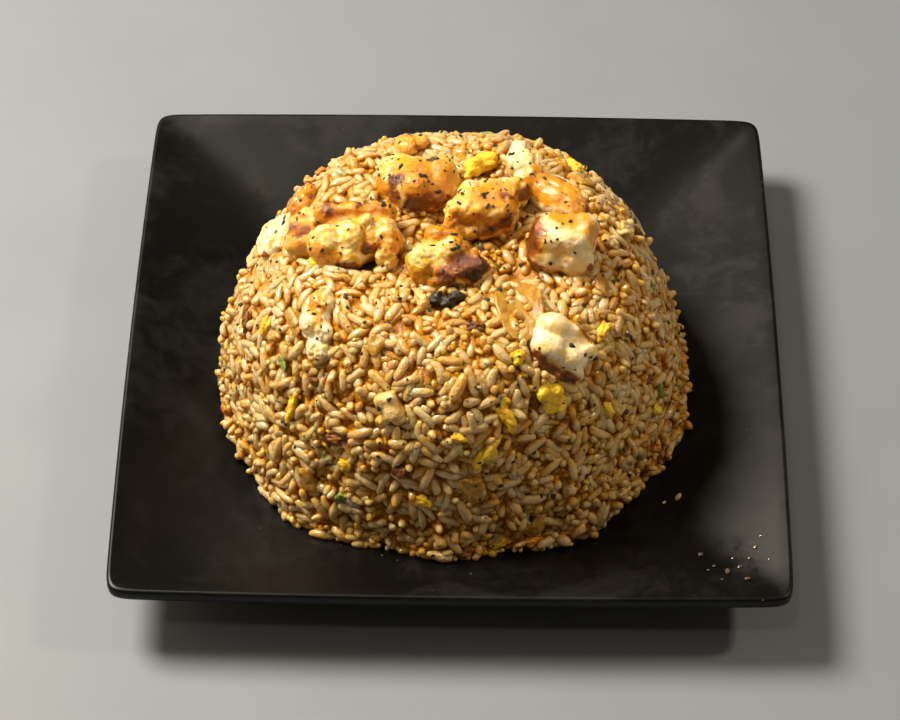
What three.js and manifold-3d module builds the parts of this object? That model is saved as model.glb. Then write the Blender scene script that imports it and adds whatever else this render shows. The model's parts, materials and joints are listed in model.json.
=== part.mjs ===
// A heap of fried rice, turned out of a bowl onto a square black plate, with shrimp, chicken and egg.
// Millimetres, +Z up. The origin is the middle of the plate's foot, where it stands on the table.
// +X runs along the near edge of the plate, +Y away from the eater.
import * as THREE from "three";
import { ConvexGeometry } from "three/addons/geometries/ConvexGeometry.js";
import { mergeVertices } from "three/addons/utils/BufferGeometryUtils.js";
import Module from "manifold-3d";

const wasm = await Module();
wasm.setup();

const gap = 0.3; // left between pieces that touch

const plate = {
  half: 108, // from the middle to the rim, at the middle of a side
  sideBow: 1.2, // how far each side bows out
  rimZ: 25,
  wellZ: 8.5, // the level middle of the dish
  wellHalf: 48.6,
  slopeHalf: 106.6, // where the slope ends and the rim turns over
  slopePower: 1.5,
  thickness: 4.4,
  lipDepth: 4.8,
  lipDrop: 0.9, // the outer edge starts this far below the rim
  footHalf: 57.5,
  footWidth: 6,
  footDraft: 1.2, // the foot's inner wall leans in
  roundPower: 4, // squareness of the level lines in the middle of the dish
  cornerPower: 45, // and at the rim, which leaves corners of about 5.5 mm radius
};

const heap = {
  x: 0.3,
  y: -8.2,
  baseZ: 9,
  height: 73,
  footRadius: 76.2,
  flatRadius: 40, // the nearly level crown
  skirt: 5, // the core runs on this far below its foot, and the plate cuts it off
  hollow: { x: 6, y: 8, radius: 40, depth: 4 }, // the crown sinks between the toppings
  broadSwell: { height: 0.9, around: 3, long: 21 }, // waves of the surface, around and down the side
  fineSwell: { height: 0.7, around: 5, long: 17 },
  swellFrom: 40, // they fade out above this far down
  spreadBand: 45, // the foot spreads over this much of the side
  spreadAngle: 8, // and this many degrees to each side
  seed: 20,
};

// Where the foot of the heap spreads out (or draws in), by its direction in degrees.
const footSpread = [
  { around: -13, reach: 2.2 },
  { around: -36, reach: -2.6 },
  { around: -60, reach: 3 },
  { around: -92, reach: 3.6 },
  { around: -105, reach: -1.4 },
  { around: -130, reach: 2.4 },
  { around: 168, reach: 0.8 },
  { around: 120, reach: 1.6 },
  { around: 84, reach: -1.2 },
  { around: 48, reach: 1.8 },
];

// A grain of cooked rice, as the relief shows it.
const grain = {
  length: 8.5,
  apart: 4.35, // between neighbours
  crest: 1.3, // how far its middle stands proud
  endShare: 0.7, // and its ends, as a share of that
  crestShare: 0.28, // from its middle to the end of its crest, as a share of its length
  valley: -0.9,
  valleyFromCrest: 2.5,
  valleyApart: 3.4,
  proudShare: 0.12, // some grains stick out further near the foot
  proudCrest: 2.6,
  crestTries: 26000,
  valleyTries: 30000,
};

// A scrap in the relief: a knob with a round rim, both above the crests of the grains.
const knob = { reach: 0.36, middle: 1, rim: 0.3, points: 5 };

// Every lump has its own lobes and two sets of drawn ones, broad and fine.
const drawnLobes = [
  { count: 7, most: 0.26, tight: 4.5 },
  { count: 18, most: 0.2, tight: 18 },
];

const finishes = {
  plate: { color: 0x17171a, roughness: 0.42, metalness: 0 },
  rice: { color: 0xb98a4a, roughness: 0.45, metalness: 0 },
  shrimp: { color: 0xe0a24e, roughness: 0.35, metalness: 0 },
  paleShrimp: { color: 0xead7b0, roughness: 0.35, metalness: 0 },
  chicken: { color: 0xd9b67c, roughness: 0.5, metalness: 0 },
  goldenBit: { color: 0xd58f2e, roughness: 0.45, metalness: 0 },
  onion: { color: 0xc08a3c, roughness: 0.3, metalness: 0 },
  egg: { color: 0xe8b416, roughness: 0.5, metalness: 0 },
  burnt: { color: 0x1c130d, roughness: 0.6, metalness: 0 },
};

// around: direction from the crown in degrees, 0 along +X.  down: millimetres from the crown, over the heap.
// rise: how far the middle stands above the heap.  size: along X, up the slope, and through.
// turn: degrees about its own upright.  square: 2 is rounded, more is boxier.
// lobes: swellings of the surface, each with its direction and how far it reaches.
const toppings = [
  {
    name: "shrimp_front",
    finish: "shrimp",
    around: -96,
    down: 13,
    rise: 4.5,
    size: [26, 20, 17],
    turn: -12,
    square: 2.2,
    lobes: [{ to: [0.9, -0.5, -0.1], reach: 0.3 }, { to: [-0.3, 0.9, 0.3], reach: 0.22 }],
    seed: 11,
  },
  {
    name: "shrimp_middle",
    finish: "shrimp",
    around: 48,
    down: 14,
    rise: 8,
    size: [31, 19, 15],
    turn: 14,
    square: 3,
    lobes: [{ to: [-1, -0.3, -0.1], reach: 0.34 }, { to: [0.8, 0.6, 0.3], reach: 0.2 }],
    seed: 12,
  },
  {
    name: "shrimp_cube",
    finish: "shrimp",
    around: -10,
    down: 35,
    rise: 5.2,
    size: [21, 18, 19],
    turn: -8,
    square: 4.5,
    lobes: [{ to: [0.6, -0.6, -0.6], reach: 0.12 }],
    seed: 13,
  },
  {
    name: "shrimp_left",
    finish: "paleShrimp",
    around: -174,
    down: 32,
    rise: 4,
    size: [31, 24, 17],
    turn: 2,
    square: 2.4,
    lobes: [
      { to: [0.9, -0.6, -0.2], reach: 0.4 },
      { to: [-0.8, -0.5, 0.1], reach: 0.28 },
      { to: [0.1, 0.8, 0.5], reach: 0.2 },
    ],
    seed: 14,
  },
  {
    name: "shrimp_back_left",
    finish: "shrimp",
    around: 120,
    down: 25,
    rise: 4.5,
    size: [27, 20, 17],
    turn: -6,
    square: 2.2,
    lobes: [{ to: [0.9, 0.2, 0], reach: 0.12 }],
    seed: 15,
  },
  {
    name: "shrimp_back_right",
    finish: "shrimp",
    around: 37,
    down: 36,
    rise: 3.5,
    size: [34, 15, 14],
    turn: -38,
    square: 2.4,
    lobes: [{ to: [-0.8, 0.4, 0.7], reach: 0.35 }, { to: [1, -0.1, -0.2], reach: 0.15 }],
    seed: 16,
  },
  {
    name: "shrimp_white",
    finish: "paleShrimp",
    around: -51,
    down: 55,
    rise: 1,
    size: [23, 20, 12],
    turn: -14,
    square: 2.3,
    lobes: [{ to: [0.8, 0.5, 0.2], reach: 0.22 }, { to: [0.6, -0.8, 0.2], reach: 0.2 }],
    seed: 17,
  },
  {
    name: "shrimp_tail",
    finish: "goldenBit",
    around: 158,
    down: 53,
    rise: 1.6,
    size: [14, 9, 8],
    turn: 58,
    square: 2.1,
    lobes: [{ to: [1, 0.1, 0.2], reach: 0.5 }],
    seed: 21,
  },
  {
    name: "chicken_left_flat",
    finish: "chicken",
    around: 168,
    down: 63,
    rise: 1.4,
    size: [13, 18, 7],
    turn: -24,
    square: 3,
    lobes: [{ to: [-0.6, 0.7, 0.3], reach: 0.2 }],
    seed: 22,
  },
  {
    name: "chicken_left_golden",
    finish: "goldenBit",
    around: 177,
    down: 48,
    rise: 2,
    size: [10, 17, 11],
    turn: -6,
    square: 3.4,
    lobes: [{ to: [0.2, 0.9, 0.4], reach: 0.15 }],
    seed: 23,
  },
  {
    name: "chicken_front_left",
    finish: "chicken",
    around: -142,
    down: 55,
    rise: 0.8,
    size: [12, 25, 10],
    turn: -8,
    square: 2.3,
    lobes: [{ to: [-0.6, -0.3, 0.4], reach: 0.2 }, { to: [0.3, 0.9, 0.1], reach: 0.15 }],
    seed: 24,
  },
  {
    name: "chicken_front_small",
    finish: "chicken",
    around: -109,
    down: 68,
    rise: 0.6,
    size: [10.5, 11.5, 8],
    turn: 6,
    square: 3.4,
    lobes: [{ to: [-0.7, -0.6, 0.1], reach: 0.2 }],
    seed: 25,
  },
  {
    name: "golden_bit_back",
    finish: "goldenBit",
    around: 109,
    down: 46,
    rise: 1.4,
    size: [11.9, 9, 6.5],
    turn: 12,
    square: 3.2,
    lobes: [{ to: [0.8, 0.3, -0.3], reach: 0.25 }],
    seed: 26,
  },
  {
    name: "onion_petal",
    finish: "onion",
    around: -56,
    down: 37,
    rise: 1.2,
    size: [15, 26, 2.6],
    turn: 8,
    square: 2.6,
    lobes: [],
    seed: 27,
    cup: 0.35, // its edges lift like a petal's
  },
  {
    name: "egg_front_right",
    finish: "egg",
    around: -60,
    down: 67,
    rise: 0.9,
    size: [10.5, 12, 4.5],
    turn: 4,
    square: 2,
    lobes: [{ to: [0.8, 0.5, 0], reach: 0.35 }, { to: [0, -1, 0], reach: 0.2 }],
    seed: 31,
  },
  {
    name: "egg_strip_upper",
    finish: "egg",
    around: -75,
    down: 68,
    rise: 0.7,
    size: [5.5, 14, 4],
    turn: 14,
    square: 2.2,
    lobes: [{ to: [-0.7, -0.7, 0], reach: 0.3 }],
    seed: 32,
  },
  {
    name: "egg_strip_lower",
    finish: "egg",
    around: -80,
    down: 80,
    rise: 0.7,
    size: [5.5, 15, 4],
    turn: -42,
    square: 2.2,
    lobes: [{ to: [0.6, 0.7, 0], reach: 0.25 }],
    seed: 33,
  },
  {
    name: "egg_left",
    finish: "egg",
    around: -138,
    down: 84,
    rise: 0.8,
    size: [6, 13, 4],
    turn: -22,
    square: 2.2,
    lobes: [{ to: [0.5, 0.8, 0], reach: 0.25 }],
    seed: 34,
  },
  {
    name: "egg_back",
    finish: "egg",
    around: 77,
    down: 34,
    rise: 2,
    size: [12, 9, 7],
    turn: 10,
    square: 2.2,
    lobes: [{ to: [-0.9, 0.3, 0.2], reach: 0.3 }],
    seed: 35,
  },
  {
    name: "burnt_bit",
    finish: "burnt",
    around: -95,
    down: 27,
    rise: 0.4,
    size: [12, 6, 5],
    turn: -6,
    square: 2,
    lobes: [{ to: [-0.8, 0.3, 0.3], reach: 0.3 }],
    seed: 36,
  },
];

// Scraps of egg, onion, chicken and scallion that are part of the heap's surface, and their lengths.
const scraps = [
  { around: 46, down: 57, size: 5 },
  { around: -34, down: 59, size: 4.5 },
  { around: -97, down: 98, size: 6 },
  { around: -78, down: 117, size: 6.5 },
  { around: -45, down: 81, size: 4.5 },
  { around: -68, down: 52, size: 6 },
  { around: -167, down: 78, size: 7 },
  { around: -123, down: 85, size: 8 },
  { around: -167, down: 120, size: 6 },
  { around: -2, down: 110, size: 7 },
  { around: -87, down: 118, size: 8 },
  { around: 9, down: 55, size: 7 },
  { around: 17, down: 67, size: 7.5 },
  { around: 118, down: 80, size: 7 },
  { around: 70, down: 96, size: 6 },
  { around: 150, down: 98, size: 6 },
  { around: 34, down: 90, size: 6.5 },
];

const radians = THREE.MathUtils.degToRad;

// A repeatable stream of numbers between 0 and 1.
function seededRandom(seed) {
  let state = seed * 7919;
  return () => {
    state = (state * 16807) % 2147483647;
    return state / 2147483647;
  };
}

// Keeps only the positions, with shared vertices merged and collapsed triangles dropped.
function welded(geometry) {
  const bare = new THREE.BufferGeometry();
  bare.setAttribute("position", geometry.getAttribute("position").clone());
  if (geometry.index) bare.setIndex(geometry.index.clone());
  const merged = mergeVertices(bare, 1e-4);
  const kept = [];
  for (let i = 0; i < merged.index.count; i += 3) {
    const [a, b, c] = [0, 1, 2].map((step) => merged.index.getX(i + step));
    if (a !== b && b !== c && c !== a) kept.push(a, b, c);
  }
  merged.setIndex(kept);
  return merged;
}

// Moves every vertex of a geometry through a function of its position.
function reshape(geometry, move) {
  const place = geometry.getAttribute("position");
  const point = new THREE.Vector3();
  for (let i = 0; i < place.count; i += 1) {
    point.fromBufferAttribute(place, i);
    move(point);
    place.setXYZ(i, point.x, point.y, point.z);
  }
  return geometry;
}

function solidFrom(geometry, matrix = new THREE.Matrix4()) {
  const placed = welded(geometry.clone().applyMatrix4(matrix));
  const vertProperties = new Float32Array(placed.getAttribute("position").array);
  const triVerts = new Uint32Array(placed.index.array);
  return new wasm.Manifold(new wasm.Mesh({ numProp: 3, vertProperties, triVerts }));
}

function geometryFrom(solid, matrix = new THREE.Matrix4()) {
  const mesh = solid.getMesh();
  const geometry = new THREE.BufferGeometry();
  geometry.setAttribute("position", new THREE.BufferAttribute(new Float32Array(mesh.vertProperties), 3));
  geometry.setIndex(Array.from(mesh.triVerts));
  return geometry.applyMatrix4(matrix);
}

// A cut can leave a loose sliver: only the body itself is kept.
function largestBody(solid) {
  return solid.decompose().sort((a, b) => b.volume() - a.volume())[0];
}

function namedMesh(name, geometry, finish) {
  const mesh = new THREE.Mesh(geometry, new THREE.MeshStandardMaterial(finishes[finish]));
  mesh.name = name;
  mesh.geometry.computeVertexNormals();
  return mesh;
}

// Height of the dish where its level line crosses the middle of a side at u.
function dishZ(u) {
  const climb = Math.max(u - plate.wellHalf, 0) / (plate.slopeHalf - plate.wellHalf);
  return plate.wellZ + (plate.rimZ - plate.wellZ) * climb ** plate.slopePower;
}

const octantSlopes = [0, 0.42, 0.75, 0.91, 0.97]; // points from a side's middle to its corner
const plateSegments = octantSlopes.length * 8;

// Direction of each spoke of the plate, packed more closely towards the corners.
function spoke(index) {
  const eighth = Math.floor(index / octantSlopes.length);
  const step = index % octantSlopes.length;
  const mirrored = eighth % 2 === 1;
  const slope = mirrored ? [1, ...octantSlopes.slice(1).reverse()][step] : octantSlopes[step];
  const lean = Math.atan(slope);
  return (mirrored ? Math.PI / 2 - lean : lean) + Math.floor(eighth / 2) * (Math.PI / 2);
}

// Turns a ring of the lathe into a rounded square with slightly bowed sides.
function squareRing(point) {
  const u = Math.hypot(point.x, point.y);
  if (u < 1e-6) return;
  const turn = (Math.atan2(point.y, point.x) + Math.PI * 2) % (Math.PI * 2);
  const angle = spoke(Math.round((turn / (Math.PI * 2)) * plateSegments) % plateSegments);
  const [cos, sin] = [Math.abs(Math.cos(angle)), Math.abs(Math.sin(angle))];
  const outward = (u / plate.half) ** 4;
  const power = plate.roundPower + (plate.cornerPower - plate.roundPower) * outward;
  const reach = u / (cos ** power + sin ** power) ** (1 / power);
  const slope = Math.min(cos, sin) / Math.max(cos, sin);
  const bowed = reach * (1 + (plate.sideBow / plate.half) * (1 - slope ** 2) * outward);
  point.x = Math.cos(angle) * bowed;
  point.y = Math.sin(angle) * bowed;
}

// A closed profile, from axis to axis, as a square dish.
function squareLathe(profile) {
  const points = profile.map(([u, z]) => new THREE.Vector2(u, z));
  const turned = welded(new THREE.LatheGeometry(points, plateSegments).rotateX(Math.PI / 2));
  return reshape(turned, squareRing);
}

const dishStations = [plate.wellHalf, 60, 73, 88, plate.slopeHalf];

function plateGeometry() {
  const { half, rimZ, lipDepth, lipDrop, thickness, footHalf, footWidth, footDraft, wellZ } = plate;
  const inside = dishStations.map((u) => [u, dishZ(u)]);
  const underside = [96, 76, footHalf + 2].map((u) => [u, dishZ(u) - thickness]);
  const lip = [
    [half, rimZ - lipDrop],
    [half - 0.3, rimZ - lipDepth + 0.7],
    [half - 1.6, rimZ - lipDepth],
  ];
  const foot = [
    [footHalf, 0],
    [footHalf - footWidth, 0],
    [footHalf - footWidth - footDraft, wellZ - thickness],
  ];
  const profile = [[0, wellZ], ...inside, ...lip, ...underside, ...foot, [0, wellZ - thickness]];
  return squareLathe(profile.reverse());
}

// All that lies below the plate's upper face, grown by the gap: it trims the underside of the heap.
function belowDishSolid() {
  const inside = dishStations.map((u) => [u, dishZ(u) + gap]);
  const deep = -10;
  const profile = [[0, plate.wellZ + gap], ...inside, [plate.slopeHalf, deep], [0, deep]];
  return solidFrom(squareLathe(profile.reverse()));
}

// The side of the heap, from the middle of its crown down to its foot.
const side = new THREE.Path();
side.moveTo(0, heap.baseZ + heap.height);
side.lineTo(heap.flatRadius, heap.baseZ + heap.height);
side.absellipse(
  heap.flatRadius,
  heap.baseZ,
  heap.footRadius - heap.flatRadius,
  heap.height,
  Math.PI / 2,
  0,
  true,
);
const sideLength = side.getLength();
const mmPerRadian = sideLength / (Math.PI / 2);

// Shallow swellings that keep the heap from looking turned on a lathe, and the uneven spread of its foot.
function unevenness(azimuth, down) {
  const { broadSwell, fineSwell, swellFrom, spreadBand, spreadAngle } = heap;
  const share = Math.min(down / swellFrom, 1);
  const wave = Math.sin(broadSwell.around * azimuth + 0.6) * Math.sin(down / broadSwell.long);
  const ripple = Math.sin(fineSwell.around * azimuth - 1.2 + down / fineSwell.long);
  const low = THREE.MathUtils.smoothstep(down, sideLength - spreadBand, sideLength);
  const spread = footSpread.reduce((sum, { around, reach }) => {
    const turn = azimuth - radians(around);
    const away = Math.atan2(Math.sin(turn), Math.cos(turn));
    return sum + reach * Math.exp(-((away / radians(spreadAngle)) ** 2));
  }, 0);
  return share * (broadSwell.height * wave + fineSwell.height * ripple) + low * spread;
}

// A point of the heap and its outward direction, with the crown's centre on the Z axis.
function heapSpot(azimuth, down, rise = 0) {
  const share = Math.min(down / sideLength, 1);
  const at = side.getPoint(share);
  const along = side.getTangent(Math.min(Math.max(share, 0.001), 0.999));
  const round = new THREE.Vector3(Math.cos(azimuth), Math.sin(azimuth), 0);
  const normal = round.clone().multiplyScalar(-along.y).setZ(along.x).normalize();
  const point = round.multiplyScalar(at.x).setZ(at.y);
  const { x, y, radius, depth } = heap.hollow;
  const near = Math.min(Math.hypot(point.x - x, point.y - y) / radius, 1);
  point.z -= depth * (0.5 + 0.5 * Math.cos(Math.PI * near));
  point.addScaledVector(normal, unevenness(azimuth, down) + rise);
  return { point, normal };
}

// Two directions along the surface: across the slope, as near to X as it can be, and up it.
function slopeAxes(normal) {
  const across = new THREE.Vector3(1, 0, 0).addScaledVector(normal, -normal.x).normalize();
  return [across, normal.clone().cross(across)];
}

// The heap is worked out on a ball, where a direction stands for a place on the heap.
function ballDirection(azimuth, down) {
  const polar = down / mmPerRadian;
  const out = Math.sin(polar);
  return new THREE.Vector3(out * Math.cos(azimuth), out * Math.sin(azimuth), Math.cos(polar));
}

function ballToHeap(direction, rise) {
  const azimuth = Math.atan2(direction.y, direction.x);
  const polar = Math.acos(THREE.MathUtils.clamp(direction.z, -1, 1));
  const down = polar * mmPerRadian;
  if (down <= sideLength + 0.01) return heapSpot(azimuth, down, rise).point;
  // below the foot: straight down, then in under the heap
  const foot = heapSpot(azimuth, sideLength, 0).point;
  const inward = THREE.MathUtils.smoothstep(polar, Math.PI / 2 + 0.1, Math.PI);
  return foot.multiplyScalar(1 - inward).setZ(heap.baseZ - heap.skirt);
}

// Whether a direction of the ball comes out under a topping, where no relief shows.
function underTopping(direction) {
  return toppings.some(({ around, down, size, turn }) => {
    const middle = ballDirection(radians(around), down);
    const [across, upSlope] = slopeAxes(middle);
    const away = direction.clone().sub(middle).multiplyScalar(mmPerRadian);
    const spin = radians(turn);
    const x = away.dot(across) * Math.cos(spin) + away.dot(upSlope) * Math.sin(spin);
    const y = away.dot(upSlope) * Math.cos(spin) - away.dot(across) * Math.sin(spin);
    return Math.hypot((2 * x) / size[0], (2 * y) / size[1]) < 0.8 && Math.abs(away.dot(middle)) < size[0];
  });
}

// Each scrap stands out of the relief as a low round knob.
function scrapSpots() {
  return scraps.flatMap(({ around, down, size }) => {
    const middle = ballDirection(radians(around), down);
    const [across, upSlope] = slopeAxes(middle);
    const reach = (size * knob.reach) / mmPerRadian;
    const rim = Array.from({ length: knob.points }, (_, i) => {
      const turn = (i / knob.points) * Math.PI * 2 + around;
      return middle
        .clone()
        .addScaledVector(across, reach * Math.cos(turn))
        .addScaledVector(upSlope, reach * Math.sin(turn))
        .normalize();
    });
    const low = rim.map((direction) => ({ direction, rise: grain.crest + knob.rim }));
    return [{ direction: middle, rise: grain.crest + knob.middle }, ...low];
  });
}

// Every grain in the relief is a crest of three points, clear of its neighbours.
function grainCrests(random, taken) {
  const crests = [...taken];
  const apart = grain.apart / mmPerRadian;
  const halfCrest = (grain.length * grain.crestShare) / mmPerRadian;
  for (let n = 0; n < grain.crestTries; n += 1) {
    const azimuth = random() * Math.PI * 2;
    const middle = ballDirection(azimuth, Math.acos(random()) * mmPerRadian);
    const any = new THREE.Vector3(random() - 0.5, random() - 0.5, random() - 0.5);
    const along = any.cross(middle).normalize();
    const proud = random() < grain.proudShare && middle.z < 0.3;
    const ends = [-1, 0, 1];
    const points = ends.map((end) => middle.clone().addScaledVector(along, end * halfCrest).normalize());
    const blocked = points.some((p) => p.z < 0.01 || underTopping(p));
    if (blocked || crests.some((crest) => points.some((p) => p.distanceTo(crest.direction) < apart))) continue;
    points.forEach((direction, i) => {
      const rise = (proud ? grain.proudCrest : grain.crest) * (ends[i] === 0 ? 1 : grain.endShare);
      crests.push({ direction, rise });
    });
  }
  return crests;
}

// The valleys fill what the crests leave free, far apart where a topping hides them.
function grainValleys(crests, random) {
  const valleys = [];
  const fromCrest = grain.valleyFromCrest / mmPerRadian;
  const fromValley = grain.valleyApart / mmPerRadian;
  for (let n = 0; n < grain.valleyTries; n += 1) {
    const azimuth = random() * Math.PI * 2;
    const direction = ballDirection(azimuth, Math.acos(random()) * mmPerRadian);
    if (crests.some((crest) => crest.direction.distanceTo(direction) < fromCrest)) continue;
    const apart = fromValley * (underTopping(direction) ? 2 : 1);
    if (valleys.some((valley) => valley.direction.distanceTo(direction) < apart)) continue;
    valleys.push({ direction, rise: grain.valley });
  }
  return valleys;
}

function heapGeometry() {
  const random = seededRandom(heap.seed);
  const crests = grainCrests(random, scrapSpots());
  const spots = [...crests, ...grainValleys(crests, random)];
  const skirtSteps = 32;
  for (let i = 0; i < skirtSteps; i += 1) {
    const azimuth = (i / skirtSteps) * Math.PI * 2;
    const below = sideLength + 0.1 * mmPerRadian;
    spots.push({ direction: ballDirection(azimuth, below), rise: 0 });
  }
  spots.push({ direction: new THREE.Vector3(0, 0, -1), rise: 0 });
  const key = (v) => [v.x, v.y, v.z].map((c) => Math.round(c * 1e5)).join();
  const rises = new Map(spots.map(({ direction, rise }) => [key(direction), rise]));
  const ball = welded(new ConvexGeometry(spots.map((spot) => spot.direction)));
  return reshape(ball, (p) => p.copy(ballToHeap(p, rises.get(key(p)))));
}

// Points spread over a ball, close together above and few below, where a topping is sunk in the rice.
function lumpDirections(count) {
  const golden = Math.PI * (3 - Math.sqrt(5));
  const lowest = -0.35;
  const directions = Array.from({ length: count }, (_, i) => {
    const z = 1 - ((1 - lowest) * (i + 0.5)) / count;
    return new THREE.Vector3(Math.cos(golden * i), Math.sin(golden * i), 0)
      .multiplyScalar(Math.sqrt(1 - z * z))
      .setZ(z);
  });
  const sunk = Array.from({ length: 8 }, (_, i) => {
    const z = i % 2 ? -0.62 : -0.88;
    return new THREE.Vector3(Math.cos(i * 0.785), Math.sin(i * 0.785), 0)
      .multiplyScalar(Math.sqrt(1 - z * z))
      .setZ(z);
  });
  return [...directions, ...sunk];
}

// A cooked lump: a rounded box, swollen by its lobes and by a few random ones.
function lumpGeometry({ size, square, lobes, seed, cup = 0 }, grow = 0) {
  const random = seededRandom(seed);
  const longest = Math.max(...size);
  const count = longest > 17 && size[2] > 9 ? 120 : longest > 11.8 ? 60 : 36;
  const drawn = drawnLobes.flatMap(({ count: length, most, tight }) =>
    Array.from({ length }, () => ({
      to: [random() - 0.5, random() - 0.5, random() - 0.5],
      reach: most * (random() - 0.45),
      tight,
    })),
  );
  const broad = drawnLobes[0].tight;
  const swellings = [...lobes, ...drawn].map(({ to, reach, tight = broad }) => {
    return { toward: new THREE.Vector3(...to).normalize(), reach, tight };
  });
  const lump = reshape(welded(new ConvexGeometry(lumpDirections(count))), (p) => {
    const direction = p.clone().normalize();
    const box = [p.x, p.y, p.z].reduce((sum, c) => sum + Math.abs(c) ** square, 0) ** (-1 / square);
    const swell = swellings.reduce(
      (sum, { toward, reach, tight }) => sum + reach * Math.exp(tight * (toward.dot(direction) - 1)),
      1,
    );
    p.multiplyScalar(box * swell);
  });
  lump.computeBoundingBox();
  const middle = lump.boundingBox.getCenter(new THREE.Vector3());
  const extent = lump.boundingBox.getSize(new THREE.Vector3());
  lump.translate(-middle.x, -middle.y, -middle.z);
  lump.scale(...size.map((length, i) => (length + 2 * grow) / extent.getComponent(i)));
  return reshape(lump, (p) => {
    p.z += cup * size[0] * 0.5 * ((2 * p.x) / size[0]) ** 2;
  });
}

// Sets a topping down on the heap, its own Z along the heap's outward direction.
function placeTopping(mesh, { around, down, rise, turn }) {
  const { point, normal } = heapSpot(radians(around), down, rise);
  const [across, upSlope] = slopeAxes(normal);
  const upright = new THREE.Matrix4().makeBasis(across, upSlope, normal);
  mesh.quaternion.setFromRotationMatrix(upright);
  mesh.rotateZ(radians(turn));
  mesh.position.copy(point);
  mesh.updateMatrix();
}

// The toppings in order, each trimmed where the ones before it lie, and the pockets they need.
function makeToppings() {
  const pockets = [];
  const meshes = toppings.map((topping) => {
    const mesh = namedMesh(topping.name, lumpGeometry(topping), topping.finish);
    placeTopping(mesh, topping);
    const whole = solidFrom(mesh.geometry, mesh.matrix);
    const trimmed = pockets.reduce((solid, pocket) => solid.subtract(pocket), whole);
    if (trimmed.volume() < whole.volume() - 1e-6) {
      const back = mesh.matrix.clone().invert();
      mesh.geometry = geometryFrom(largestBody(trimmed), back);
    }
    pockets.push(solidFrom(lumpGeometry(topping, gap), mesh.matrix));
    return mesh;
  });
  return { meshes, pockets };
}

function riceMesh(pockets) {
  const ontoPlate = new THREE.Matrix4().makeTranslation(-heap.x, -heap.y, 0);
  const belowDish = solidFrom(geometryFrom(belowDishSolid()), ontoPlate);
  const core = solidFrom(heapGeometry());
  const fitted = [belowDish, ...pockets].reduce((solid, cutter) => solid.subtract(cutter), core);
  return namedMesh("rice", geometryFrom(largestBody(fitted)), "rice");
}

const { meshes, pockets } = makeToppings();
const heaped = new THREE.Group();
heaped.position.set(heap.x, heap.y, 0);
heaped.add(riceMesh(pockets), ...meshes);

const friedRice = new THREE.Group();
friedRice.add(namedMesh("plate", plateGeometry(), "plate"), heaped);

export default friedRice;
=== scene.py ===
import json
import math

import bpy
import numpy as np
from mathutils import Matrix, Vector
from mathutils.bvhtree import BVHTree


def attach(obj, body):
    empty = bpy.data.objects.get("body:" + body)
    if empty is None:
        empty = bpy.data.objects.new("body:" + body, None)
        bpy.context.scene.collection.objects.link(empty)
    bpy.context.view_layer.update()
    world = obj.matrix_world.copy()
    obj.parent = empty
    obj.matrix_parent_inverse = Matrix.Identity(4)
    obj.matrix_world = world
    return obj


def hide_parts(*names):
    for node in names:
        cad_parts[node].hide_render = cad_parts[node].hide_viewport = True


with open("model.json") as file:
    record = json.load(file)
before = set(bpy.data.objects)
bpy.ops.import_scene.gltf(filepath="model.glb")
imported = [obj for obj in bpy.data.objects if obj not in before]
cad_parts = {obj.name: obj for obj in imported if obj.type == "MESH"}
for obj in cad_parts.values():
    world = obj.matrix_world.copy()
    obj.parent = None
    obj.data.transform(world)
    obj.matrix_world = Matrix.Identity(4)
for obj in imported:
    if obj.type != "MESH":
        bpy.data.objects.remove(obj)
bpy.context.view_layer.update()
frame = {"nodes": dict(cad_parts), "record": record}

mm = 0.001
scene = bpy.context.scene
bpy.ops.object.select_all(action="DESELECT")


# shader maths reads as Python: a Signal is one socket, a Finish is one material

class Signal:
    def __init__(self, tree, socket):
        self.tree = tree
        self.socket = socket

    def maths(self, operation, first, second, clamp=False):
        node = self.tree.nodes.new("ShaderNodeMath")
        node.operation = operation
        node.use_clamp = clamp
        for place, item in zip(node.inputs, (first, second)):
            feed(self.tree, place, item)
        return Signal(self.tree, node.outputs[0])

    def __add__(self, other):
        return self.maths("ADD", self, other)

    def __sub__(self, other):
        return self.maths("SUBTRACT", self, other)

    def __mul__(self, other):
        return self.maths("MULTIPLY", self, other)

    def __rsub__(self, other):
        return self.maths("SUBTRACT", other, self)

    __radd__ = __add__
    __rmul__ = __mul__

    def clamped(self):
        return self.maths("ADD", self, 0.0, clamp=True)


def feed(tree, place, item):
    # a link where the item is a Signal, and otherwise a plain value
    if isinstance(item, Signal):
        tree.links.new(item.socket, place)
    elif isinstance(item, tuple) and len(item) == 3 and place.type == "RGBA":
        place.default_value = (*item, 1.0)
    else:
        place.default_value = item


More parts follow.
